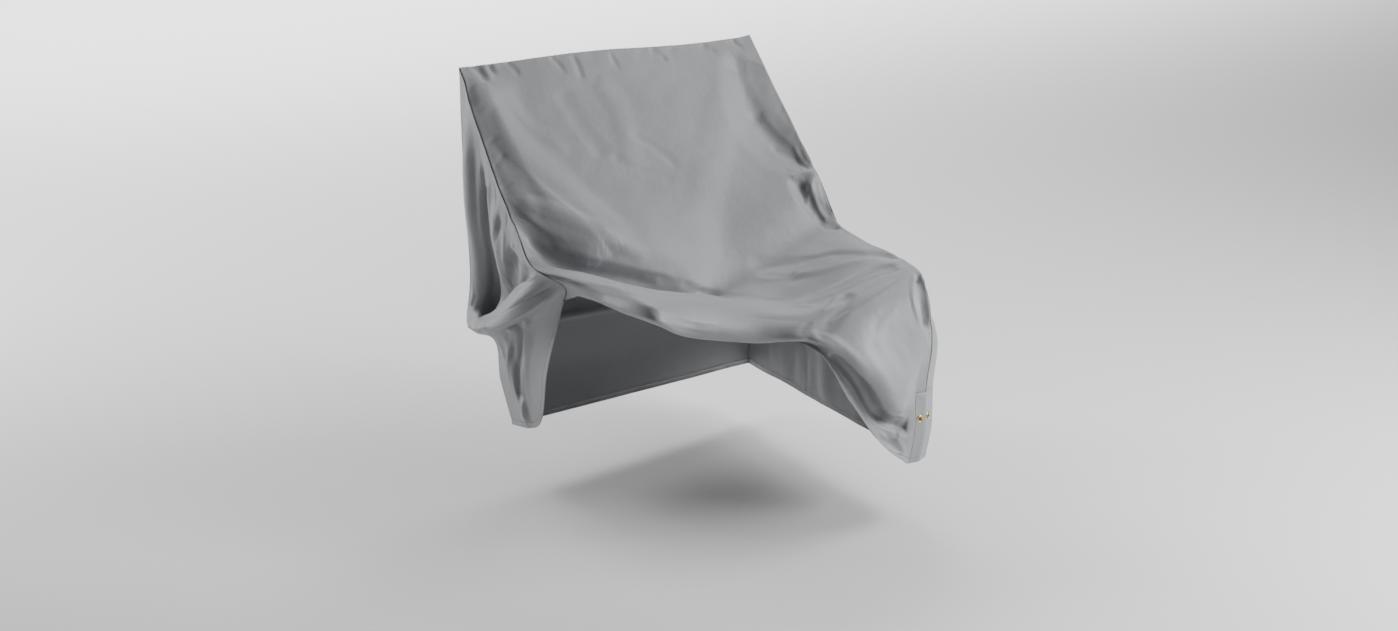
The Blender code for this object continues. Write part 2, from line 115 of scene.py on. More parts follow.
# Sections of the front panel, which are the rows of its tables
SLOPE_FOOT = 4           # the left panel's top edge ends here
TURN_ROW = 7             # the right panel's top edge ends here
STRIP_ROW = 9            # the strip's top edge lies here
FLAT_ROW = 11            # the strip's corner is upright down to here

# Every table below is in millimetres.
# Front panel: a row for each section from the top seam to the hem. Its lines, from left to
# right: left seam, near line, near corner, left line, middle line, edge line, right line,
# outer line, strip edge and right seam.
FRONT_X = (
    ("top_seam",   -395, -300, -200, -105,    5,  105,  200,  300,  358,  386),
    ("upper",      -395, -298, -196, -102,    8,  106,  200,  300,  358,  386),
    ("mid_slope",  -395, -296, -192, -100,   10,  108,  202,  301,  359,  387),
    ("step_edge",  -395, -300, -202, -104,    8,  112,  206,  303,  361,  388),
    ("slope_foot", -394, -308, -212, -106,    8,  115,  210,  305,  363,  390),
    ("seat_back",  -392, -308, -222, -110,    5,  112,  208,  307,  364,  392),
    ("crest",      -387, -300, -236, -125,   -5,  105,  198,  306,  365,  393),
    ("turn",       -370, -308, -256, -138,  -15,  102,  192,  302,  360,  391),
    ("drop",       -352, -318, -272, -145,  -20,  100,  182,  298,  352,  380),
    ("ridge",      -342, -322, -280, -148,  -22,   98,  178,  290,  346,  374),
    ("recess",     -336, -320, -276, -147,  -22,   98,  175,  292,  346,  374),
    ("flap",       -333, -300, -262, -145,  -20,   97,  171,  300,  346,  374),
    ("hem",        -334, -272, -240, -140,  -15,   96,  166,  312,  340,  364),
)
FRONT_Y = (
    ("top_seam",      0,    0,    0,    0,    0,    0,    0,    0,    0,    0),
    ("upper",      -105, -108, -112, -114, -115, -116, -114, -110, -106, -104),
    ("mid_slope",  -196, -206, -218, -226, -230, -232, -228, -220, -212, -208),
    ("step_edge",  -252, -338, -382, -414, -438, -385, -370, -345, -325, -318),
    ("slope_foot", -300, -342, -388, -424, -456, -455, -440, -420, -400, -392),
    ("seat_back",  -358, -420, -475, -518, -545, -545, -540, -530, -522, -518),
    ("crest",      -385, -490, -600, -625, -650, -670, -690, -690, -690, -690),
    ("turn",       -410, -535, -690, -680, -695, -750, -780, -784, -778, -766),
    ("drop",       -422, -552, -730, -705, -722, -790, -830, -842, -838, -828),
    ("ridge",      -424, -556, -742, -688, -722, -812, -848, -850, -828, -818),
    ("recess",     -418, -548, -725, -665, -705, -796, -812, -814, -826, -818),
    ("flap",       -410, -515, -680, -622, -670, -788, -808, -812, -826, -818),
    ("hem",        -402, -480, -630, -575, -625, -800, -822, -824, -822, -812),
)
FRONT_Z = (
    ("top_seam",     15,   14,   14,   14,   10,    3,   -2,   -4,   -3,    0),
    ("upper",      -118, -119, -121, -122, -122, -119, -116, -108,  -97,  -90),
    ("mid_slope",  -208, -218, -230, -238, -242, -240, -236, -218, -195, -178),
    ("step_edge",  -262, -332, -373, -406, -440, -392, -360, -318, -292, -278),
    ("slope_foot", -313, -402, -436, -460, -472, -452, -425, -392, -372, -362),
    ("seat_back",  -366, -374, -400, -432, -454, -466, -440, -405, -388, -383),
    ("crest",      -372, -374, -382, -402, -436, -446, -425, -395, -385, -382),
    ("turn",       -382, -377, -372, -412, -452, -448, -432, -408, -400, -396),
    ("drop",       -394, -388, -378, -445, -475, -468, -488, -548, -556, -545),
    ("ridge",      -405, -400, -398, -472, -496, -492, -562, -680, -672, -660),
    ("recess",     -416, -408, -412, -485, -506, -503, -578, -710, -705, -695),
    ("flap",       -428, -404, -408, -480, -503, -510, -606, -758, -752, -748),
    ("hem",        -444, -402, -405, -475, -500, -520, -640, -815, -832, -832),
)
# Left side panel: a row for each level from the seam to the hem. Its lines, from rear to front:
# rear, back fold, middle, front fold and front.
LEFT_X = (
    ("seam",       -395, -395, -395, -395, -394),
    ("hanging",    -395, -390, -396, -390, -392),
    ("valley",     -392, -380, -380, -380, -389),
    ("crest",      -398, -392, -398, -398, -383),
    ("front",      -406, -416, -424, -420, -364),
    ("under",      -394, -410, -418, -410, -347),
    ("tail_top",   -356, -362, -366, -362, -339),
    ("tail_mid",   -346, -346, -344, -342, -333),
    ("hem",        -345, -345, -345, -345, -334),
)
LEFT_Y = (
    ("seam",          0,  -95, -180, -250, -300),
    ("hanging",      -3, -100, -186, -268, -358),
    ("valley",       -6, -104, -194, -280, -376),
    ("crest",       -10, -108, -202, -292, -393),
    ("front",       -30, -130, -226, -318, -414),
    ("under",       -48, -136, -230, -322, -423),
    ("tail_top",    -50, -124, -222, -315, -421),
    ("tail_mid",    -76, -145, -236, -312, -410),
    ("hem",        -136, -212, -276, -332, -402),
)
LEFT_Z = (
    ("seam",         15, -108, -192, -260, -313),
    ("hanging",    -280, -330, -348, -350, -366),
    ("valley",     -560, -545, -492, -436, -370),
    ("crest",      -582, -548, -488, -432, -375),
    ("front",      -608, -568, -516, -462, -386),
    ("under",      -622, -588, -540, -490, -400),
    ("tail_top",   -640, -600, -548, -498, -411),
    ("tail_mid",   -740, -710, -668, -590, -428),
    ("hem",        -836, -818, -792, -640, -444),
)
# Right side panel: a row for each level from the seam to the hem. Its lines, from the front
# corner to the rear: corner, strip edge, front, middle and rear.
RIGHT_X = (
    ("seam",        385,  393,  393,  388,  386),
    ("upper",       377,  398,  398,  394,  388),
    ("lower",       374,  399,  402,  392,  390),
    ("hem",         364,  388,  396,  394,  390),
)
RIGHT_Y = (
    ("seam",       -752, -690, -520, -318,    0),
    ("upper",      -808, -792, -590, -310,    0),
    ("lower",      -818, -805, -620, -310,    0),
    ("hem",        -812, -799, -600, -310,    0),
)
RIGHT_Z = (
    ("seam",       -393, -382, -383, -278,    0),
    ("upper",      -545, -540, -540, -470, -290),
    ("lower",      -690, -692, -690, -660, -590),
    ("hem",        -832, -836, -850, -856, -860),
)

# Broad folds, which the solids have too, some of them a few millimetres from their place there.
# Each row: start, middle and end, as section and line counted in the tables above; then the half
# widths to the left and right of the line and the height (under zero: a trough), in millimetres;
# and how keen the fold is, from 0 for soft to 1 for sharp.
FRONT_FOLDS = (
    ("pull_from_corner", (0.30, 0.40), (1.40, 0.85), (2.90, 2.50), 50, 50,  7.0, 0.0),
    ("facet_by_seam",    (0.20, 0.02), (1.70, 0.03), (3.50, 0.03), 56, 30, -9.0, 0.0),
    ("streak_over_step", (2.45, 0.35), (2.62, 1.30), (2.90, 2.90), 28, 28,  4.0, 0.0),
    ("facet_right",      (0.45, 7.80), (1.50, 7.00), (2.70, 8.30), 70, 70, -9.0, 0.0),
    ("pouch",            (2.80, 8.35), (3.45, 8.70), (4.10, 8.80), 35, 35,  9.0, 0.0),
    ("pouch_fold",       (2.80, 7.60), (3.25, 7.60), (4.10, 8.60), 30, 28, -6.5, 0.0),
    ("seat_trough",      (6.00, 8.70), (5.10, 7.20), (3.60, 5.20), 34, 34, -5.0, 0.0),
    ("seat_ridge",       (6.10, 8.45), (5.50, 6.90), (4.70, 5.90), 28, 28,  5.0, 0.0),
    ("corner_trough",    (6.35, 7.90), (6.02, 6.33), (6.00, 5.20), 24, 24, -5.0, 0.0),
    ("corner_dent",      (7.15, 8.85), (7.40, 8.45), (7.75, 8.65), 22, 18, -9.0, 0.2),
    ("edge_crease",      (6.40, 6.20), (7.40, 5.50), (8.50, 4.90), 24, 24, -5.0, 0.0),
)
LEFT_FOLDS = (
    ("rear_ridge",   (0.40, 0.50), (1.20, 0.45), (1.90, 0.40), 28, 28,   8.0, 0.0),
    ("deep_fold",    (0.50, 1.10), (1.35, 0.98), (2.35, 0.60), 32, 32, -18.0, 0.0),
    ("middle_ridge", (0.50, 1.80), (1.20, 1.75), (1.90, 1.60), 28, 28,   8.0, 0.0),
    ("slant_fold",   (1.00, 3.00), (1.50, 2.40), (2.00, 1.70), 28, 28, -12.0, 0.0),
    ("tail_ridge",   (6.00, 1.00), (7.00, 1.10), (7.90, 1.20), 28, 28,   9.0, 0.0),
    ("tail_pocket",  (6.00, 1.90), (6.85, 1.60), (7.50, 1.36), 28, 28,  -8.0, 0.0),
)
RIGHT_FOLDS = (
    ("front_fold",  (0.60, 1.60), (1.60, 1.65), (3.00, 1.70), 55, 55, -12.0, 0.0),
    ("front_ridge", (0.80, 2.10), (1.80, 2.15), (3.00, 2.20), 50, 50,   9.0, 0.0),
    ("middle_fold", (0.50, 2.70), (1.60, 2.75), (3.00, 2.80), 50, 50, -11.0, 0.0),
    ("rear_ridge",  (0.40, 3.30), (1.50, 3.32), (3.00, 3.35), 45, 45,   8.0, 0.0),
)

# Finer creases, in the same columns.
FRONT_CREASES = (
    # pulls under the top seam
    ("dent_by_corner",   (0.02, 0.29),  (0.09, 0.50),  (0.27, 0.49),   12, 12,  -5.0, 0.3),
    ("top_pull_1",       (0.01, 0.77),  (0.07, 0.83),  (0.15, 0.86),    9,  9,  -5.0, 0.4),
    ("top_pull_1_ridge", (0.01, 0.62),  (0.10, 0.68),  (0.26, 0.70),   11, 11,   3.0, 0.2),
    ("top_pull_2",       (0.00, 1.24),  (0.10, 1.39),  (0.20, 1.50),    8, 13,  -3.6, 0.5),
    ("top_pull_3",       (0.02, 2.43),  (0.13, 2.57),  (0.25, 2.66),    8, 11,  -3.0, 0.4),
    ("top_pull_4",       (0.03, 3.02),  (0.18, 3.07),  (0.40, 3.06),   10, 15,  -2.8, 0.3),
    ("top_pull_5",       (0.05, 3.93),  (0.17, 3.95),  (0.28, 3.99),    8, 11,  -3.0, 0.4),
    ("top_pull_6",       (0.02, 5.05),  (0.12, 5.20),  (0.24, 5.35),    8, 12,  -2.8, 0.4),
    ("top_pull_7",       (0.02, 6.50),  (0.10, 6.60),  (0.20, 6.80),    8, 12,  -2.4, 0.4),
    ("top_pull_8",       (0.01, 7.60),  (0.10, 7.70),  (0.22, 7.90),    8, 12,  -2.8, 0.4),
    # slope
    ("tension_ridge",    (0.04, 0.26),  (1.75, 0.62),  (2.96, 2.00),  115, 88,  17.0, 0.5),
    ("tension_ridge_2",  (0.26, 0.75),  (0.93, 1.24),  (1.50, 1.97),   32, 20,   1.6, 0.3),
    ("seam_shadow",      (0.60, 0.34),  (1.60, 0.45),  (2.70, 0.75),   30, 30,  -5.0, 0.0),
    ("lip_start",        (2.37, 0.18),  (2.85, 0.41),  (2.92, 1.13),   14, 12,   1.5, 0.4),
    ("lip_run",          (3.30, 0.80),  (3.12, 1.75),  (3.06, 3.40),   20, 12,   3.0, 0.3),
    ("below_lip",        (4.05, 0.15),  (3.70, 1.10),  (3.55, 3.00),   26, 14,  -7.0, 0.1),
    ("diagonal_1",       (1.29, 3.65),  (1.61, 4.15),  (1.94, 4.50),   20, 16,  -1.5, 0.2),
    ("diagonal_2",       (1.62, 3.12),  (1.87, 3.51),  (2.10, 4.30),   18, 22,  -1.3, 0.2),
    ("diagonal_3",       (0.48, 2.36),  (1.14, 2.59),  (1.60, 2.88),   36, 28,  -1.8, 0.0),
    ("diagonal_4",       (2.31, 1.81),  (2.51, 2.00),  (2.64, 2.26),   16, 16,  -1.2, 0.2),
    ("diagonal_5",       (0.40, 3.40),  (1.10, 3.60),  (1.90, 3.30),   44, 36,   1.8, 0.0),
    ("cross_ridge",      (2.60, 4.60),  (1.50, 6.00),  (0.60, 7.20),   60, 60,   2.4, 0.0),
    ("right_band",       (0.30, 7.60),  (0.90, 7.20),  (1.60, 7.50),   26, 40,  -3.0, 0.2),
    ("right_band_low",   (1.35, 7.15),  (2.05, 7.60),  (2.78, 8.45),   26, 36,  -5.5, 0.2),
    # puckers of the left seam
    ("seam_pull_1",      (0.70, 0.04),  (0.66, 0.22),  (0.60, 0.36),    8,  6,  -2.2, 0.5),
    ("seam_pull_2",      (1.26, 0.03),  (1.20, 0.24),  (1.12, 0.40),    9,  7,  -2.8, 0.5),
    ("seam_pull_3",      (1.72, 0.04),  (1.60, 0.23),  (1.48, 0.42),    9,  7,  -2.8, 0.5),
    ("seam_pull_4",      (2.20, 0.04),  (2.12, 0.20),  (2.05, 0.36),    9,  7,  -2.4, 0.5),
    ("seam_pull_5",      (4.60, 0.04),  (4.55, 0.16),  (4.45, 0.30),    7,  6,  -2.6, 0.5),
    ("seam_pull_6",      (0.36, 0.04),  (0.34, 0.20),  (0.30, 0.30),    7,  6,  -2.0, 0.5),
    # puckered right seam and its pouch
    ("star_arm_1",       (2.90, 8.85),  (2.80, 7.95),  (2.68, 7.40),   10,  7,   3.0, 0.7),
    ("star_arm_2",       (2.88, 8.90),  (2.50, 8.00),  (2.02, 7.30),   12, 16,  -2.6, 0.3),
    ("star_arm_3",       (2.98, 8.85),  (3.05, 8.10),  (3.41, 7.55),   10,  9,   3.0, 0.5),
    ("star_arm_4",       (2.84, 8.80),  (2.60, 8.40),  (2.30, 8.30),    8,  8,   3.0, 0.5),
    ("star_arm_5",       (2.95, 8.70),  (2.92, 8.20),  (2.86, 7.80),    8,  8,  -2.0, 0.5),
    ("pouch_dark",       (2.86, 7.60),  (3.40, 7.58),  (4.02, 7.90),   20, 15,  -5.5, 0.3),
    ("pouch_side",       (2.98, 8.02),  (3.48, 8.00),  (3.98, 8.28),   12, 10,   4.0, 0.4),
    ("pouch_bottom",     (4.02, 7.75),  (4.20, 8.25),  (4.27, 8.80),   14, 12,  -4.5, 0.4),
    ("pouch_inner",      (3.30, 8.75),  (3.60, 8.70),  (3.93, 8.75),    9,  9,  -1.4, 0.5),
    ("pouch_rim",        (3.92, 8.30),  (4.02, 8.60),  (4.20, 8.85),    9,  9,   1.0, 0.4),
    # level part
    ("seat_line",        (5.90, 8.70),  (5.30, 7.65),  (4.40, 6.35),    8, 16,  -2.4, 0.6),
    ("seat_line_ridge",  (5.81, 7.90),  (5.20, 6.51),  (4.00, 5.50),   18, 18,   2.0, 0.1),
    ("second_ridge",     (6.18, 8.17),  (5.62, 6.47),  (5.12, 5.30),   10, 16,   2.4, 0.5),
    ("under_ridge",      (5.64, 7.66),  (5.20, 6.45),  (4.10, 5.14),   14, 18,   1.8, 0.2),
    ("dark_line_left",   (3.70, 3.80),  (4.40, 4.50),  (5.60, 5.05),   14, 12,  -2.8, 0.4),
    ("dark_wedge",       (3.30, 3.50),  (3.75, 3.90),  (4.35, 4.25),   18, 16,  -2.2, 0.1),
    ("wedge_left",       (4.30, 2.30),  (3.95, 3.20),  (4.05, 4.30),   18, 16,  -3.0, 0.1),
    ("roll_line",        (6.05, 2.70),  (5.75, 4.10),  (6.64, 5.30),   20, 12,   4.2, 0.7),
    # rays from the front right corner
    ("ray_1",            (6.55, 8.20),  (6.56, 6.33),  (6.80, 5.41),   14, 12,  -3.0, 0.4),
    ("ray_2",            (6.63, 8.50),  (7.04, 6.38),  (7.61, 5.29),   14, 14,   2.6, 0.4),
    ("ray_3",            (6.38, 5.90),  (7.33, 4.98),  (8.73, 4.70),    9,  9,  -2.4, 0.6),
    ("ray_4",            (6.42, 6.05),  (6.90, 5.37),  (7.69, 4.90),    8,  8,   2.0, 0.6),
    ("ray_5",            (6.68, 8.60),  (7.32, 6.76),  (7.72, 6.44),   18, 16,  -1.0, 0.3),
    ("ray_6",            (6.84, 8.10),  (7.38, 6.78),  (8.15, 6.43),   14, 14,   0.8, 0.4),
    ("ray_7",            (7.06, 6.03),  (7.26, 5.64),  (7.47, 5.27),    8,  8,  -1.8, 0.5),
    ("ray_8",            (6.45, 8.20),  (6.20, 7.60),  (6.10, 6.90),   10, 10,   1.2, 0.3),
    # dent beside the corner
    ("corner_dark",      (6.92, 8.72),  (7.28, 8.12),  (7.70, 8.45),   24,  9, -17.0, 0.45),
    ("corner_dark_rim",  (6.88, 8.35),  (7.24, 7.66),  (7.60, 7.90),    8,  8,   3.0, 0.6),
    ("corner_crinkle_1", (7.36, 8.16),  (7.50, 8.42),  (7.64, 8.76),    6,  6,   3.6, 0.7),
    ("corner_crinkle_2", (7.56, 7.98),  (7.68, 8.30),  (7.84, 8.70),    7,  7,  -3.6, 0.6),
    ("corner_crinkle_3", (7.80, 8.15),  (7.90, 8.40),  (8.05, 8.85),    7,  7,   2.6, 0.6),
    # drop to the hem
    ("drop_ridge_1",     (8.30, 4.90),  (8.60, 5.60),  (8.90, 6.20),   14, 16,   2.6, 0.3),
    ("drop_ridge_2",     (7.80, 6.71),  (8.25, 7.43),  (8.95, 8.60),   18, 16,   1.0, 0.2),
    ("drop_ridge_3",     (7.96, 7.08),  (8.57, 8.14),  (9.10, 8.70),   12, 12,  -0.8, 0.2),
    ("drop_ridge_4",     (8.10, 6.20),  (8.50, 6.70),  (8.95, 7.40),   22, 20,  -1.4, 0.1),
    ("overhang_edge_1",  (9.00, 4.80),  (9.18, 5.45),  (8.98, 6.20),   12,  9,   4.0, 0.9),
    ("overhang_edge_2",  (9.35, 5.85),  (9.25, 6.60),  (10.20, 7.55),  12,  8,   5.0, 0.9),
    ("overhang_dark_1",  (10.10, 5.35), (10.25, 6.20), (10.35, 6.90),  32, 14, -13.0, 0.2),
    ("overhang_dark_2",  (10.35, 6.60), (10.50, 7.05), (10.72, 7.60),  24, 12,  -9.0, 0.3),
    ("under_crease_1",   (10.48, 6.15), (9.98, 6.40),  (9.49, 6.51),    9,  9,  -3.0, 0.5),
    ("notch",            (10.41, 6.95), (10.75, 7.50), (10.95, 8.40),  14, 14,  -3.5, 0.2),
    ("notch_ridge",      (10.90, 7.05), (11.15, 7.60), (11.10, 8.30),  10, 12,   3.6, 0.3),
    ("low_dark",         (11.38, 6.67), (11.45, 6.80), (10.95, 6.95),  10, 10,  -4.0, 0.4),
    ("low_fold",         (10.87, 6.95), (11.21, 7.06), (11.56, 7.47),  10, 10,   3.4, 0.4),
    # roll at the near side, and the lower drop
    ("rim_bright",       (8.87, 2.05),  (8.37, 2.79),  (8.19, 3.35),    9, 10,   2.0, 0.5),
    ("rim_shadow",       (8.21, 2.17),  (8.09, 2.76),  (7.81, 3.34),   10, 10,  -2.0, 0.3),
    ("roll_face",        (5.47, 1.70),  (5.95, 2.28),  (6.89, 2.81),   16, 14,   3.0, 0.4),
    ("roll_notch",       (5.40, 2.10),  (5.88, 1.70),  (6.84, 1.50),    7,  7,  -2.6, 0.5),
    ("roll_seam_pull_1", (6.60, 0.06),  (6.80, 0.22),  (7.10, 0.35),    6,  6,  -2.0, 0.5),
    ("roll_seam_pull_2", (7.30, 0.05),  (7.25, 0.20),  (7.10, 0.38),    6,  6,   2.0, 0.5),
    ("bulge_shade",      (8.80, 6.20),  (8.80, 6.80),  (8.80, 7.40),   22, 22,  -2.5, 0.1),
    ("low_wave_1",       (11.14, 6.70), (11.14, 7.10), (11.26, 8.40),  10, 10,   3.0, 0.4),
    ("low_wave_2",       (11.62, 6.85), (11.40, 7.50), (11.45, 8.50),   9,  9,  -2.6, 0.4),
    ("roll_foot",        (8.00, 2.80),  (8.00, 3.80),  (9.00, 4.75),   45, 22,   4.0, 0.0),
)
LEFT_CREASES = (
    ("roll_shadow",     (2.25, 0.40), (2.35, 2.10), (1.95, 3.60), 18, 16, -10.0, 0.3),
    ("roll_upper_edge", (3.15, 0.35), (3.22, 2.10), (2.75, 3.85), 12,  8,   3.0, 1.0),
    ("roll_lower_edge", (4.10, 0.40), (4.75, 2.40), (5.35, 3.88), 28,  8,  12.0, 0.7),
    ("under_roll",      (4.75, 0.30), (5.25, 2.00), (5.75, 3.60), 12, 14,  -8.0, 0.2),
    ("rear_band",       (0.25, 0.30), (1.15, 0.27), (2.30, 0.18), 60, 22,  13.0, 0.6),
    ("deep_fold_keen",  (0.30, 1.10), (1.15, 0.86), (2.25, 0.52), 16, 14, -11.0, 0.3),
    ("mid_ridge",       (0.30, 1.55), (1.05, 1.28), (2.15, 0.98), 12, 14,   5.0, 0.5),
    ("mid_trough",      (0.45, 2.30), (0.89, 1.90), (1.40, 1.40), 12, 12,  -5.0, 0.3),
    ("mid_ridge_2",     (0.67, 2.45), (1.20, 2.20), (1.60, 1.80),  9,  9,   2.5, 0.4),
    ("slant_dark",      (1.10, 2.85), (1.55, 1.90), (2.10, 1.10), 12, 20,  -9.0, 0.5),
    ("slant_rim",       (0.80, 3.10), (1.10, 2.70), (1.40, 2.45),  9, 10,   3.4, 0.5),
    ("pocket_dark",     (1.40, 3.60), (1.75, 3.25), (2.00, 2.70), 10, 12,  -5.0, 0.4),
    ("pocket_rim",      (1.10, 3.55), (1.45, 3.20), (1.80, 2.90),  8,  9,   3.0, 0.5),
    ("seam_pull_1",     (0.12, 0.90), (0.22, 0.95), (0.32, 1.00),  7,  7,  -2.0, 0.5),
    ("seam_pull_2",     (0.14, 1.90), (0.26, 1.92), (0.38, 1.95),  7,  7,  -2.0, 0.5),
    ("seam_pull_3",     (0.15, 2.80), (0.30, 2.75), (0.45, 2.70),  7,  7,  -2.0, 0.5),
    ("tail_pleat_1",    (5.75, 2.62), (6.62, 1.86), (7.50, 1.36), 36,  7,  11.0, 0.8),
    ("tail_dark_1",     (5.55, 2.20), (6.60, 1.50), (7.45, 1.20),  9, 14,  -7.0, 0.3),
    ("tail_pleat_2",    (5.60, 1.85), (6.68, 1.08), (7.49, 0.98),  9, 16,   5.0, 0.7),
    ("tail_pleat_3",    (6.17, 0.15), (6.60, 0.60), (7.20, 0.85),  8, 20,   5.0, 0.6),
    ("tail_dark_left",  (6.55, 0.50), (6.85, 0.75), (7.15, 0.80), 10, 10,  -4.0, 0.3),
    ("roll_tip",        (4.10, 0.02), (4.12, 0.60), (4.30, 1.50), 12, 12,   7.0, 1.0),
    ("tail_pleat_foot", (6.80, 1.72), (7.60, 1.30), (8.60, 1.14), 30, 10,   5.0, 0.7),
)
RIGHT_CREASES = (
    ("puff_by_seam",  (0.20, 2.30), (0.22, 2.72), (0.20, 3.20), 90, 38, 26.0, 0.0),
    ("corner_fall_1", (0.20, 1.20), (1.00, 1.35), (2.20, 1.45), 20, 24,  4.0, 0.4),
    ("corner_fall_2", (0.30, 1.90), (1.20, 1.85), (2.60, 1.95), 22, 18, -4.0, 0.3),
    ("middle_fall",   (0.60, 2.40), (1.50, 2.45), (2.80, 2.50), 24, 20,  3.6, 0.4),
    ("middle_fall_2", (0.80, 3.05), (1.70, 3.10), (2.90, 3.08), 22, 20,  3.4, 0.4),
    ("rear_fall",     (0.50, 3.60), (1.60, 3.62), (2.90, 3.60), 24, 22, -4.0, 0.3),
    ("slant_1",       (0.40, 2.00), (1.10, 2.60), (1.90, 3.10), 18, 20, -3.0, 0.3),
    ("slant_2",       (0.70, 3.20), (1.40, 3.40), (2.10, 3.70), 18, 20,  2.6, 0.3),
)


def unit_rows(vectors: np.ndarray) -> np.ndarray:
    """Return the vectors that the last axis holds at unit length."""
    return vectors / np.maximum(np.linalg.norm(vectors, axis=-1, keepdims=True), NO_LENGTH)


def eased(share: np.ndarray) -> np.ndarray:
    """Return shares from 0 to 1 with a soft start and a soft end."""
    share = np.clip(share, 0, 1)
    return share * share * (3 - 2 * share)


def travelled(points: np.ndarray) -> np.ndarray:
    """Return how far each point lies along the run of the first axis, in metres."""
    step = np.linalg.norm(np.diff(points, axis=0), axis=-1)
    return np.concatenate((np.zeros((1, *step.shape[1:])), np.cumsum(step, axis=0)))


def table_points(x_rows: Rows, y_rows: Rows, z_rows: Rows) -> np.ndarray:
    """Return three tables, whose rows start with a name, as points in metres."""
    axes = [np.array([row[1:] for row in rows], float) for rows in (x_rows, y_rows, z_rows)]
    return np.stack(axes, axis=-1) * MM


def smooth(points: np.ndarray, steps: tuple[int, ...]) -> np.ndarray:
    """Return a smooth run through points along the first axis.

    Args:
        points: the points to run through.
        steps: the parts that follow each point but the last.

    Returns:
        The finer run.
    """
    leg = np.diff(points, axis=0)
    length = np.linalg.norm(leg, axis=-1, keepdims=True)
    unit = leg / length
    heading = np.concatenate((unit[:1], unit[:1], unit[1:]))[:len(points)]
    heading[-1] = unit[-1]
    near, far = length[:-1], length[1:]
    heading[1:-1] = (unit[:-1] * far + unit[1:] * near) / (near + far)
    run = []
    for i, count in enumerate(steps):
        for f in np.arange(count) / count:
            run.append(points[i] * (2 * f**3 - 3 * f**2 + 1)
                       + points[i + 1] * (3 * f**2 - 2 * f**3)
                       + length[i] * (heading[i] * (f**3 - 2 * f**2 + f)
                                      + heading[i + 1] * (f**3 - f**2)))
    run.append(points[-1])
    return np.array(run)


def positions(steps: tuple[int, ...]) -> np.ndarray:
    """Return where each fine point lies, counted in the rows or columns of a table."""
    parts = [i + np.arange(n * FINENESS) / (n * FINENESS) for i, n in enumerate(steps)]
    return np.concatenate(parts + [[len(steps)]])


def outward(grid: np.ndarray) -> np.ndarray:
    """Work out which way a sheet faces.

    Args:
        grid: the sheet's grid. Seen from outside, its rows run down and its columns to the right.

    Returns:
        The unit normal at each of its points.
    """
    face = unit_rows(np.cross(grid[1:, 1:] - grid[:-1, :-1], grid[:-1, 1:] - grid[1:, :-1]))
    normal = np.zeros_like(grid)
    for rows in (slice(None, -1), slice(1, None)):
        for columns in (slice(None, -1), slice(1, None)):
            normal[rows, columns] += face
    return unit_rows(normal)


def placed(name: str, data: bpy.types.ID) -> bpy.types.Object:
    """Put a mesh, a lamp or a camera into the scene.

    Args:
        name: the name of the new object.
        data: what it shows.

    Returns:
        The new object.
    """
    made = bpy.data.objects.new(name, data)
    bpy.context.scene.collection.objects.link(made)
    return made


class Side(Enum):
    """A side of a grid."""

    TOP = "top"
    BOTTOM = "bottom"
    LEFT = "left"
    RIGHT = "right"


# The sides on which a panel is sewn to its neighbours
SEWN_SIDES = (Side.TOP, Side.LEFT, Side.RIGHT)


def facing(grid: np.ndarray, side: Side) -> np.ndarray:
    """Turn a grid so that one side is its first row.

    Args:
        grid: the grid to turn.
        side: the side that comes first.

    Returns:
        A turned view of the grid: what is set on it is set on the grid.
    """
    if side is Side.TOP:
        return grid
    if side is Side.BOTTOM:
        return grid[::-1]
    swapped = grid.swapaxes(0, 1)
    return swapped if side is Side.LEFT else swapped[::-1]


def facing_back(grid: np.ndarray, side: Side) -> np.ndarray:
    """Turn a grid back that was turned by facing.

    Args:
        grid: the turned grid.
        side: the side that comes first in it.

    Returns:
        A view of the grid with its own rows and columns.
    """
    if side is Side.TOP:
        return grid
    if side is Side.BOTTOM:
        return grid[::-1]
    return grid.swapaxes(0, 1) if side is Side.LEFT else grid[::-1].swapaxes(0, 1)


def drawn_to(grid: np.ndarray, edge: np.ndarray, side: Side) -> np.ndarray:
    """Draw one side of a grid to an edge, the shift fading out across the whole grid.

    Args:
        grid: the sheet's fine grid.
        edge: the points at which the side ends up.
        side: the side to draw.

    Returns:
        The new grid.
    """
    turned = facing(grid, side)
    fade = np.linspace(1, 0, len(turned))[:, None, None]
    return facing_back(turned + fade * (edge - turned[0]), side)


def joined(grid: np.ndarray, edge: np.ndarray, side: Side) -> np.ndarray:
    """Draw one side of a grid to an edge, the shift fading out over a few rows.

    Args:
        grid: the sheet's fine grid.
        edge: the points at which the side ends up.
        side: the side to draw.

    Returns:
        The new grid.
    """
    turned = facing(grid, side).copy()
    fade = (1 - np.arange(JOIN_CELLS) / JOIN_CELLS)[:, None, None] ** 2
    turned[:JOIN_CELLS] += fade * (edge - turned[0])
    return facing_back(turned, side)


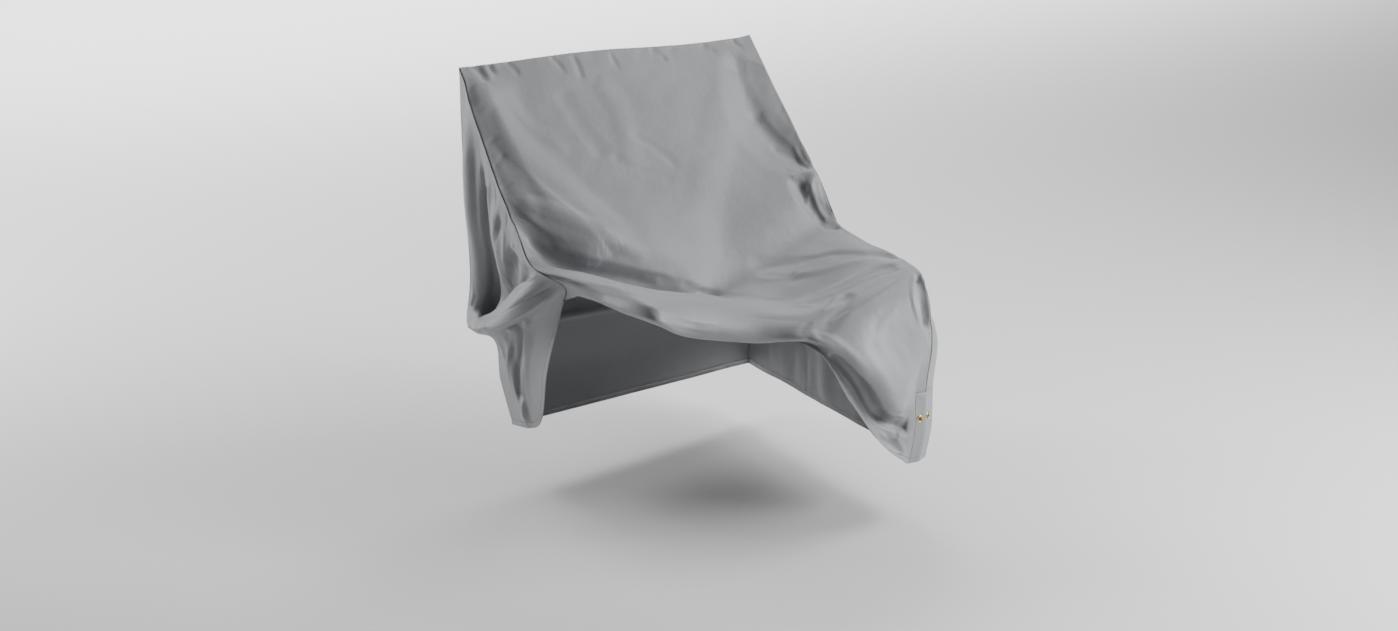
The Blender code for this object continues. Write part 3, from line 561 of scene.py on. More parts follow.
def respaced(grid: np.ndarray, side: Side, cells: int, profile: tuple[Point2, ...],
             added: int = 0) -> np.ndarray:
    """Return the grid with rows along a side at the distances of a seam's or hem's profile.

    Args:
        grid: the sheet's fine grid.
        side: the side to work on.
        cells: how many of the grid's cells the new rows take the place of.
        profile: pairs of distance and lift in millimetres.
        added: how many more rows there are afterwards.

    Returns:
        The grid with the new rows in place of the old ones.
    """
    turned = facing(grid, side)
    old = turned[:cells + 1]
    gone = travelled(old)
    wanted = np.array([distance * MM for distance, _ in profile])
    width = gone[-1]
    along = unit_rows(np.gradient(old[0], axis=0))
    slant = np.linalg.norm(np.cross(along, unit_rows(old[-1] - old[0])), axis=-1)
    share = np.minimum(1 / np.maximum(slant, LEAST_SLANT), width / (wanted[-1] + SEAM_MARGIN))
    rest = cells + added - len(profile) + 1
    new = np.concatenate((wanted[:, None] * share,
                          wanted[-1] * share + (width - wanted[-1] * share)
                          * (np.arange(1, rest + 1) / rest)[:, None]))
    made = np.empty((len(new), *old.shape[1:]))
    for line in range(old.shape[1]):
        for axis in range(3):
            made[:, line, axis] = np.interp(new[:, line], gone[:, line], old[:, line, axis])
    return facing_back(np.concatenate((made, turned[cells + 1:])), side)


def lifted(grid: np.ndarray, side: Side, profile: tuple[Point2, ...]) -> np.ndarray:
    """Raise a grid along a side by a profile whose rows are in place.

    Args:
        grid: the sheet's fine grid.
        side: the side to work on.
        profile: pairs of distance and lift in millimetres, one for each row.

    Returns:
        The new grid.
    """
    lift = np.array([height * MM for _, height in profile])
    turned = facing(grid, side).copy()
    normal = facing(outward(grid), side)
    turned[:len(lift)] += normal[:len(lift)] * lift[:, None, None]
    return facing_back(turned, side)


@dataclass(frozen=True)
class Fold:
    """One fold or crease of a sheet, as a row of the tables above."""

    name: str
    start: Point2
    middle: Point2
    end: Point2
    left_mm: float
    right_mm: float
    height_mm: float
    keen: float

    def line_on(self, rows_at: np.ndarray, columns_at: np.ndarray) -> tuple[np.ndarray, np.ndarray]:
        """Work out where the fold's line runs on the fine grid.

        Args:
            rows_at: where each row of the grid lies, counted in the table's sections.
            columns_at: where each column lies, counted in the table's lines.

        Returns:
            The rows and the columns of the line's points.
        """
        t = FOLD_PLACES
        weights = np.stack(((t - 1) * (t - 2) / 2, t * (2 - t), t * (t - 1) / 2))
        section, line = (weights.T @ np.array((self.start, self.middle, self.end))).T
        return (np.interp(section, rows_at, np.arange(len(rows_at))),
                np.interp(line, columns_at, np.arange(len(columns_at))))

    @staticmethod
    def points_at(grid: np.ndarray, r: np.ndarray, c: np.ndarray) -> np.ndarray:
        """Read a grid between its points.

        Args:
            grid: the sheet's fine grid.
            r: the rows to read at, whole or not.
            c: the columns to read at.

        Returns:
            The points there.
        """
        r0 = np.minimum(r.astype(int), grid.shape[0] - 2)
        c0 = np.minimum(c.astype(int), grid.shape[1] - 2)
        rf, cf = (r - r0)[:, None], (c - c0)[:, None]
        return ((grid[r0, c0] * (1 - cf) + grid[r0, c0 + 1] * cf) * (1 - rf)
                + (grid[r0 + 1, c0] * (1 - cf) + grid[r0 + 1, c0 + 1] * cf) * rf)

    def raise_on(self, lift: np.ndarray, grid: np.ndarray, rows_at: np.ndarray,
                 columns_at: np.ndarray) -> None:
        """Add the fold's height to a field of lifts.

        Args:
            lift: the heights so far, one for each point of the grid.
            grid: the sheet's fine grid before its folds.
            rows_at: where each row lies, counted in the table's sections.
            columns_at: where each column lies, counted in the table's lines.
        """
        rows, columns = grid.shape[:2]
        r, c = self.line_on(rows_at, columns_at)
        reach_cells = max(self.left_mm, self.right_mm) * MM / CELL + FOLD_WINDOW_MARGIN
        window = int(min(FOLD_WINDOW * FINENESS, reach_cells))
        r_low, r_high = max(0, int(r.min()) - window), min(rows, int(r.max()) + window + 2)
        c_low, c_high = max(0, int(c.min()) - window), min(columns, int(c.max()) + window + 2)
        part = grid[r_low:r_high, c_low:c_high]
        row_index, column_index = np.mgrid[r_low:r_high, c_low:c_high]
        distance = np.linalg.norm(part[:, :, None] - self.points_at(grid, r, c), axis=-1)
        off_row, off_column = row_index[..., None] - r, column_index[..., None] - c
        distance[np.maximum(abs(off_row), abs(off_column)) > window] = np.inf
        nearest = distance.argmin(-1)
        heading_row, heading_column = np.gradient(r)[nearest], np.gradient(c)[nearest]
        picked = nearest[..., None]
        side = (heading_row * np.take_along_axis(off_column, picked, -1)[..., 0]
                - heading_column * np.take_along_axis(off_row, picked, -1)[..., 0])
        width = np.where(side > 0, self.left_mm, self.right_mm) * MM
        reach = np.clip(distance.min(-1) / width, 0, 1)
        rise = np.clip(FOLD_PLACES * (2 - FOLD_PLACES) * FOLD_END_RISE, 0, 1)
        fade = np.sin(math.pi / 2 * rise)[nearest]
        soft, sharp = (1 - reach**2) ** 2, (1 - reach) ** 2 * (1 + reach / 2)
        lift[r_low:r_high, c_low:c_high] += (self.height_mm * MM * fade
                                             * (soft * (1 - self.keen) + sharp * self.keen))


@dataclass(frozen=True)
class Rumple:
    """Faint uneven waves over a whole sheet."""

    seed: int
    height_mm: float = 0.75
    shortest_mm: float = 55.0
    longest_mm: float = 190.0
    waves: int = 26

    def lift(self, grid: np.ndarray) -> np.ndarray:
        """Work out the height of the waves.

        Args:
            grid: the sheet's fine grid.

        Returns:
            The height at each of its points, in metres.
        """
        random = np.random.default_rng(self.seed)
        height = np.zeros(grid.shape[:2])
        for _ in range(self.waves):
            direction = unit_rows(random.normal(size=3))
            length = random.uniform(self.shortest_mm, self.longest_mm) * MM
            phase = random.uniform(0, 2 * math.pi)
            share = length / (self.longest_mm * MM)
            height += share * np.sin(grid @ direction * 2 * math.pi / length + phase)
        return height * self.height_mm * MM / math.sqrt(self.waves / 2)


@dataclass(frozen=True)
class Puckers:
    """Small uneven puckers that a seam or hem draws into the cloth beside it.

    The pairs are the least and the most of what is drawn for each pucker: its place in its own
    stretch of the seam, and its width, reach, height and lean as shares of the sizes above them.
    """

    seed: int
    height_mm: float = 1.3
    spacing_mm: float = 24.0
    reach_mm: float = 22.0
    slant: float = 0.5
    places: Point2 = (0.1, 0.9)
    widths: Point2 = (0.16, 0.42)
    reaches: Point2 = (0.5, 1.4)
    heights: Point2 = (-1.0, 0.75)
    leans: Point2 = (-1.0, 1.0)
    fewest: int = 3
    rise: float = 4.0

    def pulled(self, grid: np.ndarray, side: Side, cells: int) -> np.ndarray:
        """Return the grid with puckers along one side.

        Args:
            grid: the sheet's fine grid.
            side: the side that is sewn.
            cells: how many rows from the side the puckers may reach.

        Returns:
            The grid with the puckers.
        """
        turned = facing(grid, side).copy()
        normal = facing(outward(grid), side)
        random = np.random.default_rng(self.seed)
        along = travelled(turned[0])
        away = travelled(turned[:cells])
        count = max(self.fewest, int(along[-1] / (self.spacing_mm * MM)))
        height = np.zeros_like(away)
        for i in range(count):
            place = (i + random.uniform(*self.places)) * along[-1] / count
            width = random.uniform(*self.widths) * self.spacing_mm * MM
            reach = random.uniform(*self.reaches) * self.reach_mm * MM
            size = random.uniform(*self.heights) * self.height_mm * MM
            lean = random.uniform(*self.leans) * self.slant
            offset = (along[None] + lean * away - place) / width
            share = away / reach
            rise = np.minimum(1, share * self.rise)
            height += size * np.exp(-offset**2) * np.exp(-share**2) * rise
        turned[:cells] += normal[:cells] * height[..., None]
        return facing_back(turned, side)


class Nodes:
    """A material being put together from nodes."""

    def __init__(self, name: str) -> None:
        """Start a material with its plain shader.

        Args:
            name: the material's name.
        """
        self.made = bpy.data.materials.new(name)
        self.made.use_nodes = True
        self.tree = self.made.node_tree
        self.shader = self.tree.nodes["Principled BSDF"]

    def add(self, kind: str, **settings: str) -> bpy.types.Node:
        """Add a node.

        Args:
            kind: the node's type.
            **settings: its settings by name.

        Returns:
            The new node.
        """
        node = self.tree.nodes.new(kind)
        for key, value in settings.items():
            setattr(node, key, value)
        return node

    def link(self, source: bpy.types.Node, output: str, target: bpy.types.Node,
             socket: str | int) -> None:
        """Join a node's output to another's socket."""
        self.tree.links.new(source.outputs[output], target.inputs[socket])

    def noise(self, source: bpy.types.Node, output: str, scale: float, detail: float,
              roughness: float) -> bpy.types.Node:
        """Add a noise texture.

        Args:
            source: the node whose coordinates it reads.
            output: which of that node's outputs they are.
            scale: how fine the noise is.
            detail: how many finer layers it has.
            roughness: how strong those are.

        Returns:
            The new node.
        """
        node = self.add("ShaderNodeTexNoise")
        node.inputs["Scale"].default_value = scale
        node.inputs["Detail"].default_value = detail
        node.inputs["Roughness"].default_value = roughness
        self.link(source, output, node, "Vector")
        return node

    def mix(self, source: bpy.types.Node, output: str, low: Point3, high: Point3) -> bpy.types.Node:
        """Add a mix of two colours.

        Args:
            source: the node that says how much of the second colour shows.
            output: which of that node's outputs says so.
            low: the first colour.
            high: the second colour.

        Returns:
            The new node, whose first and second colours are its sockets 6 and 7.
        """
        node = self.add("ShaderNodeMix", data_type="RGBA")
        node.inputs[6].default_value = (*low, 1)
        node.inputs[7].default_value = (*high, 1)
        self.link(source, output, node, 0)
        return node

    def bump(self, source: bpy.types.Node, output: str, strength: float,
             distance: float) -> bpy.types.Node:
        """Add a bump.

        Args:
            source: the node that gives the height.
            output: which of that node's outputs it is.
            strength: how much of the bump shows.
            distance: how high it is, in metres.

        Returns:
            The new node.
        """
        node = self.add("ShaderNodeBump")
        node.inputs["Strength"].default_value = strength
        node.inputs["Distance"].default_value = distance
        self.link(source, output, node, "Height")
        return node

    def gloss(self, source: bpy.types.Node, output: str, roughness: Point2) -> None:
        """Let the shader's roughness vary.

        Args:
            source: the node that says how, from 0 to 1.
            output: which of that node's outputs says so.
            roughness: the roughness at 0 and at 1.
        """
        node = self.add("ShaderNodeMapRange")
        node.inputs["To Min"].default_value, node.inputs["To Max"].default_value = roughness
        self.link(source, output, node, "Value")
        self.link(node, "Result", self.shader, "Roughness")

    def finished(self, colour: Point3) -> bpy.types.Material:
        """Return the material, with the colour that plain views show."""
        self.made.diffuse_color = (*colour, 1)
        return self.made


@dataclass(frozen=True)
class CoatedCloth:
    """Smooth coated polyester: a fine weave under a soft satin coat."""

    name: str = "coated_cloth"
    light: Point3 = (0.298, 0.304, 0.317)
    dark: Point3 = (0.260, 0.266, 0.279)
    # colour of the shade painted into the seams' grooves and along the stitch rows
    sewn: Point3 = (0.090, 0.092, 0.097)
    thread_pitch: float = 0.0011
    roughness: Point2 = (0.40, 0.52)

    def weave(self, tree: Nodes, weave_uv: bpy.types.Node) -> bpy.types.Node:
        """Add the crossing threads.

        Args:
            tree: the material being made.
            weave_uv: the node that gives the place along and across the cloth, in metres.

        Returns:
            The node whose value is the threads' height.
        """
        threads = tree.add("ShaderNodeVectorMath", operation="SCALE")
        threads.inputs["Scale"].default_value = 2 * math.pi / self.thread_pitch
        tree.link(weave_uv, "UV", threads, 0)
        axes = tree.add("ShaderNodeSeparateXYZ")
        tree.link(threads, "Vector", axes, 0)
        crossed = tree.add("ShaderNodeMath", operation="MULTIPLY")
        for i, axis in enumerate(("X", "Y")):
            wave = tree.add("ShaderNodeMath", operation="SINE")
            tree.link(axes, axis, wave, 0)
            tree.link(wave, "Value", crossed, i)
        return crossed

    def material(self) -> bpy.types.Material:
        """Make the cloth's finish.

        Returns:
            The material. It reads the piece's weave map and its attribute of painted shade for sewn
            lines.
        """
        tree = Nodes(self.name)
        weave_uv = tree.add("ShaderNodeUVMap", uv_map="weave")
        place = tree.add("ShaderNodeTexCoord")
        crumple = tree.noise(place, "Object", scale=26.0, detail=5.0, roughness=0.55)
        crinkle = tree.noise(place, "Object", scale=75.0, detail=3.0, roughness=0.6)
        cloudy = tree.noise(place, "Object", scale=7.0, detail=3.0, roughness=0.5)
        grain = tree.noise(weave_uv, "UV", scale=900.0, detail=2.0, roughness=0.6)
        base = tree.mix(cloudy, "Fac", self.dark, self.light)
        # the attribute paints shade into the cloth's colour in and beside its seams and along its
        # stitches
        sewn = tree.add("ShaderNodeAttribute", attribute_name="sewn")
        shade = tree.mix(sewn, "Fac", self.light, self.sewn)
        tree.link(base, "Result", shade, 6)
        tree.link(shade, "Result", tree.shader, "Base Color")
        tree.gloss(grain, "Fac", self.roughness)
        bumps = (tree.bump(crumple, "Fac", strength=0.55, distance=0.0022),
                 tree.bump(crinkle, "Fac", strength=0.5, distance=0.0009),
                 tree.bump(self.weave(tree, weave_uv), "Value", strength=0.25, distance=0.00008))
        for bump, target in zip(bumps, (*bumps[1:], tree.shader)):
            tree.link(bump, "Normal", target, "Normal")
        tree.shader.inputs["Specular IOR Level"].default_value = 0.5
        tree.shader.inputs["Sheen Weight"].default_value = 0.12
        tree.shader.inputs["Sheen Roughness"].default_value = 0.45
        return tree.finished(self.light)


@dataclass(frozen=True)
class Brass:
    """Polished brass with faint rubbing marks."""

    name: str = "brass"
    colour: Point3 = (0.80, 0.56, 0.22)
    dulled: Point3 = (0.52, 0.34, 0.12)
    roughness: Point2 = (0.36, 0.16)

    def material(self) -> bpy.types.Material:
        """Make the brass's finish.

        Returns:
            The material.
        """
        tree = Nodes(self.name)
        place = tree.add("ShaderNodeTexCoord")
        patches = tree.noise(place, "Object", scale=420.0, detail=3.0, roughness=0.6)
        colour = tree.mix(patches, "Fac", self.dulled, self.colour)
        tree.link(colour, "Result", tree.shader, "Base Color")
        tree.gloss(patches, "Fac", self.roughness)
        scratches = tree.noise(place, "Object", scale=1800.0, detail=2.0, roughness=0.5)
        bump = tree.bump(scratches, "Fac", strength=0.1, distance=0.0001)
        tree.link(bump, "Normal", tree.shader, "Normal")
        tree.shader.inputs["Metallic"].default_value = 1.0
        return tree.finished(self.colour)


@dataclass(frozen=True)
class Thread:
    """Matt grey sewing thread."""

    name: str = "thread"
    colour: Point3 = (0.24, 0.245, 0.25)
    worn: Point3 = (0.33, 0.33, 0.335)

    def material(self) -> bpy.types.Material:
        """Make the thread's finish.

        Returns:
            The material.
        """
        tree = Nodes(self.name)
        place = tree.add("ShaderNodeTexCoord")
        fibres = tree.noise(place, "Object", scale=2500.0, detail=2.0, roughness=0.7)
        colour = tree.mix(fibres, "Fac", self.colour, self.worn)
        tree.link(colour, "Result", tree.shader, "Base Color")
        bump = tree.bump(fibres, "Fac", strength=0.4, distance=0.0002)
        tree.link(bump, "Normal", tree.shader, "Normal")
        tree.shader.inputs["Roughness"].default_value = 0.7
        return tree.finished(self.colour)


@dataclass(frozen=True)
class StudioPaper:
    """Plain white studio paper."""

    name: str = "studio_paper"
    colour: Point3 = (0.90, 0.90, 0.90)

    def material(self) -> bpy.types.Material:
        """Make the paper's finish.

        Returns:
            The material.
        """
        tree = Nodes(self.name)
        tree.shader.inputs["Base Color"].default_value = (*self.colour, 1)
        tree.shader.inputs["Roughness"].default_value = 0.9
        tree.shader.inputs["Specular IOR Level"].default_value = 0.1
        return tree.finished(self.colour)


@dataclass
class Sheet:
    """A panel of cloth before it is sewn: tables of sections and lines, folds and creases."""

    x_rows: Rows
    y_rows: Rows
    z_rows: Rows
    row_steps: tuple[int, ...]
    column_steps: tuple[int, ...]
    folds: Rows
    creases: Rows
    rumple: Rumple

    def lofted(self) -> np.ndarray:
        """Shape the sheet before any folds.

        Returns:
            Its fine grid.
        """
        points = table_points(self.x_rows, self.y_rows, self.z_rows)
        down = smooth(points, tuple(n * FINENESS for n in self.row_steps))
        across = smooth(down.swapaxes(0, 1), tuple(n * FINENESS for n in self.column_steps))
        return across.swapaxes(0, 1)

    def folded(self, grid: np.ndarray) -> np.ndarray:
        """Lay the folds, then the creases and the faint waves.

        Args:
            grid: the sheet's fine grid before any folds.

        Returns:
            The folded grid.
        """
        rows_at, columns_at = positions(self.row_steps), positions(self.column_steps)
        broad = np.zeros(grid.shape[:2])
        for row in self.folds:
            Fold(*row).raise_on(broad, grid, rows_at, columns_at)
        grid = grid + outward(grid) * broad[..., None]
        fine = self.rumple.lift(grid)
        for row in self.creases:
            Fold(*row).raise_on(fine, grid, rows_at, columns_at)
        return grid + outward(grid) * fine[..., None]


@dataclass
class SewnPiece:
    """A piece of cloth ready to be made into an object."""

    name: str
    node: str
    grid: np.ndarray
    flat: Point2
    area: float
    left_out: set[tuple[int, int]] = field(default_factory=set)
    sewn_sides: tuple[Side, ...] = SEWN_SIDES
    stitch_rows: tuple[tuple[Side, int], ...] = ((Side.BOTTOM, HEM_STITCH_ROW),)

    def weave_map(self) -> np.ndarray:
        """Return each point's place across and down the cloth, in metres."""
        return np.stack((travelled(self.grid.swapaxes(0, 1)).T, travelled(self.grid)), axis=-1)

    def painted_seam_shade(self) -> np.ndarray:
        """Work out the shade painted into the cloth in and beside its sewn lines and stitch rows.

        Returns:
            The painted shade at each point, from 0 to 1.
        """
        shade = np.zeros(self.grid.shape[:2])
        for side in self.sewn_sides:
            turned = facing(shade, side)
            turned[0] = PAINTED_SEAM_SHADE
            turned[1] = np.maximum(turned[1], PAINTED_SHADE_BESIDE_SEAM)
        for side, row in self.stitch_rows:
            facing(shade, side)[row] = PAINTED_STITCH_SHADE
        return shade

    def build(self, finish: bpy.types.Material) -> bpy.types.Object:
        """Return the piece as an object with its cloth's thickness.

        Args:
            finish: the cloth's material.

        Returns:
            The new object, in the scene.
        """
        rows, columns = self.grid.shape[:2]
        corners = [r * columns + c for r in range(rows - 1) for c in range(columns - 1)
                   if (r, c) not in self.left_out]
        faces = [(i, i + columns, i + columns + 1, i + 1) for i in corners]
        mesh = bpy.data.meshes.new(self.name)
        mesh.from_pydata(self.grid.reshape(-1, 3).tolist(), [], faces)
        uv_layer = mesh.uv_layers.new(name="weave")
        points_of_corners = np.empty(len(mesh.loops), dtype=np.int32)
        mesh.loops.foreach_get("vertex_index", points_of_corners)
        uv_layer.data.foreach_set("uv", self.weave_map().reshape(-1, 2)[points_of_corners].ravel())
        # the painted shade of the seams and stitch rows, which the cloth's material reads
        sewn = mesh.attributes.new("sewn", "FLOAT", "POINT")
        sewn.data.foreach_set("value", self.painted_seam_shade().ravel())
        body = bmesh.new()
        body.from_mesh(mesh)
        bmesh.ops.delete(body, geom=[v for v in body.verts if not v.link_faces], context="VERTS")
        body.to_mesh(mesh)
        body.free()
        mesh.shade_smooth()
        mesh.materials.append(finish)
        made = placed(self.name, mesh)
        thickness = made.modifiers.new("cloth thickness", "SOLIDIFY")
        thickness.thickness = CLOTH
        thickness.offset = -1
        thickness.use_even_offset = False
        return made


@dataclass(frozen=True)
class Stitching:
    """A row of stitches along a line of a sheet."""

    stitch: float = 0.0034
    space: float = 0.0014
    thread: float = 0.00055
    sides: int = 6
    body_share: float = 0.7     # share of a stitch's length that is straight
    tip_share: float = 0.15     # share that each of its tips takes
    tip_narrowing: float = 0.45
    end_facing: float = 0.9     # a face that looks along the stitch this squarely ends it
    lift: float = 0.0004        # how high the stitches' middle line lies on the cloth
    look_ahead: float = 0.002   # how far a stitch looks ahead and back for its direction

    def one(self) -> tuple[np.ndarray, list[tuple[int, ...]]]:
        """Model one stitch along X.

        Returns:
            Its points and its faces.
        """
        bpy.ops.object.select_all(action="DESELECT")
        bpy.ops.mesh.primitive_cylinder_add(vertices=self.sides, radius=self.thread,
                                            depth=self.stitch * self.body_share,
                                            rotation=(0, math.pi / 2, 0))
        bpy.ops.object.transform_apply(location=False, rotation=True, scale=False)
        bpy.ops.object.mode_set(mode="EDIT")
        bpy.ops.mesh.select_all(action="DESELECT")
        bpy.ops.object.mode_set(mode="OBJECT")
        made = bpy.context.active_object
        for face in made.data.polygons:
            face.select = abs(face.normal.x) > self.end_facing
        bpy.ops.object.mode_set(mode="EDIT")
        bpy.ops.mesh.select_mode(type="FACE")
        bpy.ops.mesh.extrude_faces_move(
            TRANSFORM_OT_shrink_fatten={"value": self.stitch * self.tip_share})
        bpy.ops.transform.resize(value=(1, self.tip_narrowing, self.tip_narrowing))
        bpy.ops.object.mode_set(mode="OBJECT")
        points = np.array([v.co for v in made.data.vertices])
        faces = [tuple(p.vertices) for p in made.data.polygons]
        bpy.data.objects.remove(made, do_unlink=True)
        return points, faces

    def run(self, name: str, line: np.ndarray, normal: np.ndarray,
            finish: bpy.types.Material) -> bpy.types.Object:
        """Return one object that holds the stitches along a line.

        Args:
            name: the object's name.
            line: the points of the line, on the cloth.
            normal: the cloth's unit normals there.
            finish: the thread's material.

        Returns:
            The new object, in the scene.
        """
        points, faces = self.one()
        raised = line + normal * self.lift
        gone = travelled(raised)
        places = np.arange(self.stitch, gone[-1] - self.stitch, self.stitch + self.space)
        centre, up, ahead, behind = (
            np.stack([np.interp(places + shift, gone, axis) for axis in values.T], axis=-1)
            for values, shift in ((raised, 0.0), (normal, 0.0), (raised, self.look_ahead),
                                  (raised, -self.look_ahead)))
        along = unit_rows(ahead - behind)
        up = unit_rows(up - along * (up * along).sum(-1, keepdims=True))
        aside = np.cross(up, along)
        turned = (centre[:, None] + points[None, :, :1] * along[:, None]
                  + points[None, :, 1:2] * aside[:, None] + points[None, :, 2:] * up[:, None])
        firsts = range(0, len(places) * len(points), len(points))
        all_faces = [tuple(first + v for v in face) for first in firsts for face in faces]
        mesh = bpy.data.meshes.new(name)
        mesh.from_pydata(turned.reshape(-1, 3).tolist(), [], all_faces)
        mesh.shade_smooth()
        mesh.materials.append(finish)
        return placed(name, mesh)


@dataclass(frozen=True)
class Eyelet:
    """A turned brass eyelet with a rolled rim in front and a flat washer behind."""

    name: str
    place: Matrix
    bore: float = EYELET_BORE / 2
    rim: float = EYELET_FLANGE / 2
    grip: float = 0.0009        # height of the faces that hold the cloth, over and under it
    dome: float = 0.0014        # height of the rim over the face that holds the cloth
    segments: int = 56
    smooth_angle: float = math.radians(50)

    def profile(self) -> tuple[Point2, ...]:
        """Work out the eyelet's section.

        Returns:
            Pairs of radius and height: up from the bore, over the rim, down round the cloth's
            slot and round the washer.
        """
        bore, rim, middle = self.bore, self.rim, (self.bore + self.rim) / 2
        face, top = self.grip, self.grip + self.dome
        return (
            (bore, top - 0.0009), (bore + 0.0002, top - 0.0004), (bore + 0.0007, top),
            (middle - 0.0004, top + 0.0003), (middle + 0.0006, top + 0.0002),
            (rim - 0.0010, top - 0.0002), (rim - 0.0004, top - 0.0006), (rim, top - 0.0013),
            (rim - 0.0001, face), (rim - 0.0012, face), (bore + 0.0009, face),
            (bore + 0.0009, -face), (rim - 0.0008, -face), (rim - 0.0004, -face - 0.0003),
            (rim - 0.0007, -face - 0.0008), (bore + 0.0006, -face - 0.0009),
            (bore, -face - 0.0005),
        )

    def build(self, finish: bpy.types.Material) -> bpy.types.Object:
        """Draw the eyelet round from a circle, ring by ring.

        Args:
            finish: the brass's material.

        Returns:
            The new object, in the scene.
        """
        profile = self.profile()
        radius, height = profile[0]
        bpy.ops.object.select_all(action="DESELECT")
        bpy.ops.mesh.primitive_circle_add(vertices=self.segments, radius=radius,
                                          fill_type="NOTHING", location=(0, 0, height))
        made = bpy.context.active_object
        made.name = made.data.name = self.name
        bpy.ops.object.transform_apply(location=True, rotation=True, scale=True)
        bpy.ops.object.mode_set(mode="EDIT")
        bpy.ops.mesh.select_all(action="SELECT")
        for next_radius, next_height in profile[1:] + profile[:1]:
            bpy.ops.mesh.extrude_edges_move(
                TRANSFORM_OT_translate={"value": (0, 0, next_height - height)})
            share = next_radius / radius
            bpy.ops.transform.resize(value=(share, share, 1), center_override=(0, 0, next_height))
            radius, height = next_radius, next_height
        bpy.ops.mesh.select_all(action="SELECT")
        bpy.ops.mesh.remove_doubles(threshold=0.00001)
        bpy.ops.mesh.normals_make_consistent(inside=False)
        bpy.ops.object.mode_set(mode="OBJECT")
        bpy.ops.object.shade_smooth_by_angle(angle=self.smooth_angle)
        made.data.transform(self.place)
        made.data.materials.append(finish)
        return made


@dataclass
class Cover:
    """The whole cover: its panels sewn to each other, with hems, stitches and eyelets."""

    cloth: CoatedCloth = field(default_factory=CoatedCloth)
    brass: Brass = field(default_factory=Brass)
    thread: Thread = field(default_factory=Thread)
    stitching: Stitching = field(default_factory=Stitching)
    front: np.ndarray = field(init=False)
    left: np.ndarray = field(init=False)
    right: np.ndarray = field(init=False)
    back: np.ndarray = field(init=False)

    @staticmethod
    def section(number: int) -> int:
        """Return the front grid's row at a section of its tables."""
        return sum(FRONT_ROW_STEPS[:number]) * FINENESS

    def drape_front(self) -> None:
        """Shape the top and front panel."""
        sheet = Sheet(FRONT_X, FRONT_Y, FRONT_Z, FRONT_ROW_STEPS, FRONT_COLUMN_STEPS,
                      FRONT_FOLDS, FRONT_CREASES, Rumple(seed=11))
        grid = sheet.folded(sheet.lofted())
        first, last = self.section(STRIP_ROW), self.section(FLAT_ROW)
        grid[first:last + 1, -1, :2] = grid[last, -1, :2]
        self.front = self.flattened(grid[:, ::-1], first, np.array((-1.0, 0, 0)))[:, ::-1]

    def drape_left(self) -> None:
        """Shape the left side panel, sewn to the front panel's left edge."""
        foot = self.section(SLOPE_FOOT)
        seam = self.front[:, 0]
        sheet = Sheet(LEFT_X, LEFT_Y, LEFT_Z, LEFT_ROW_STEPS, LEFT_COLUMN_STEPS,
                      LEFT_FOLDS, LEFT_CREASES, Rumple(seed=12, height_mm=0.9))
        grid = drawn_to(sheet.lofted(), seam[:foot + 1], Side.TOP)
        grid = sheet.folded(drawn_to(grid, seam[foot:], Side.RIGHT))
        self.left = drawn_to(drawn_to(grid, seam[:foot + 1], Side.TOP), seam[foot:], Side.RIGHT)

    def drape_right(self) -> None:
        """Shape the right side panel, sewn to the front panel's right edge."""
        turn = self.section(TURN_ROW)
        seam = self.front[:, -1]
        sheet = Sheet(RIGHT_X, RIGHT_Y, RIGHT_Z, RIGHT_ROW_STEPS, RIGHT_COLUMN_STEPS,
                      RIGHT_FOLDS, RIGHT_CREASES, Rumple(seed=13, height_mm=1.2))
        grid = drawn_to(sheet.lofted(), seam[turn::-1], Side.TOP)
        grid = sheet.folded(drawn_to(grid, seam[turn:], Side.LEFT))
        grid = drawn_to(drawn_to(grid, seam[turn::-1], Side.TOP), seam[turn:], Side.LEFT)
        along = np.array((math.cos(STRIP_TURN), math.sin(STRIP_TURN), 0))
        self.right = self.flattened(grid, self.section(STRIP_ROW) - turn, along)

    @staticmethod
    def flattened(grid: np.ndarray, first: int, along: np.ndarray) -> np.ndarray:
        """Return a grid laid flat beside its first column, where the eyelets sit.

        Args:
            grid: the panel's grid, its first column at the corner.
            first: the row from which the cloth is flat.
            along: the unit direction in which the flat part runs from the corner.

        Returns:
            The grid, the change fading out above the strip and past its far edge.
        """
        cell = np.arange(STRIP_CELLS + 1)[:, None] / STRIP_CELLS
        shift = grid[:, :1] + STRIP_REACH * along * cell - grid[:, :STRIP_CELLS + 1]
        above = eased(1 - (first - np.arange(len(grid))) / FLAT_FADE_ABOVE)[:, None, None]
        beside = eased(1 - np.arange(1, FLAT_FADE_BESIDE) / FLAT_FADE_BESIDE)[:, None]
        shift = np.concatenate((shift, shift[:, -1:] * beside), axis=1) * above
        grid = grid.copy()
        grid[:, :shift.shape[1]] += shift
        return grid

    def drape_back(self) -> None:
        """Shape the back panel between the side panels, under the top seam."""
        left_edge, right_edge = self.left[:, 0], self.right[:, -1]
        left_drop, right_drop = ((edge[0, 2] - edge[:, 2]) / (edge[0, 2] - edge[-1, 2])
                                 for edge in (left_edge, right_edge))
        right_edge = np.stack([np.interp(left_drop, right_drop, axis) for axis in right_edge.T],
                              axis=-1)
        top = self.front[0, ::-2]
        across = (top[:, 0] - top[0, 0]) / (top[-1, 0] - top[0, 0])
        grid = right_edge[:, None] * (1 - across)[:, None] + left_edge[:, None] * across[:, None]
        grid = drawn_to(grid, top, Side.TOP)
        lift = Rumple(seed=14, height_mm=2.2, shortest_mm=90, longest_mm=330).lift(grid)
        rows, columns = np.arange(len(grid)), np.arange(grid.shape[1])
        from_top = np.minimum(rows, BACK_FADE_ROWS) / BACK_FADE_ROWS
        from_side = np.minimum(np.minimum(columns, columns[::-1]), BACK_FADE_COLUMNS)
        fade = np.minimum.outer(from_top, from_side / BACK_FADE_COLUMNS)
        self.back = grid + outward(grid) * (lift * fade)[..., None]

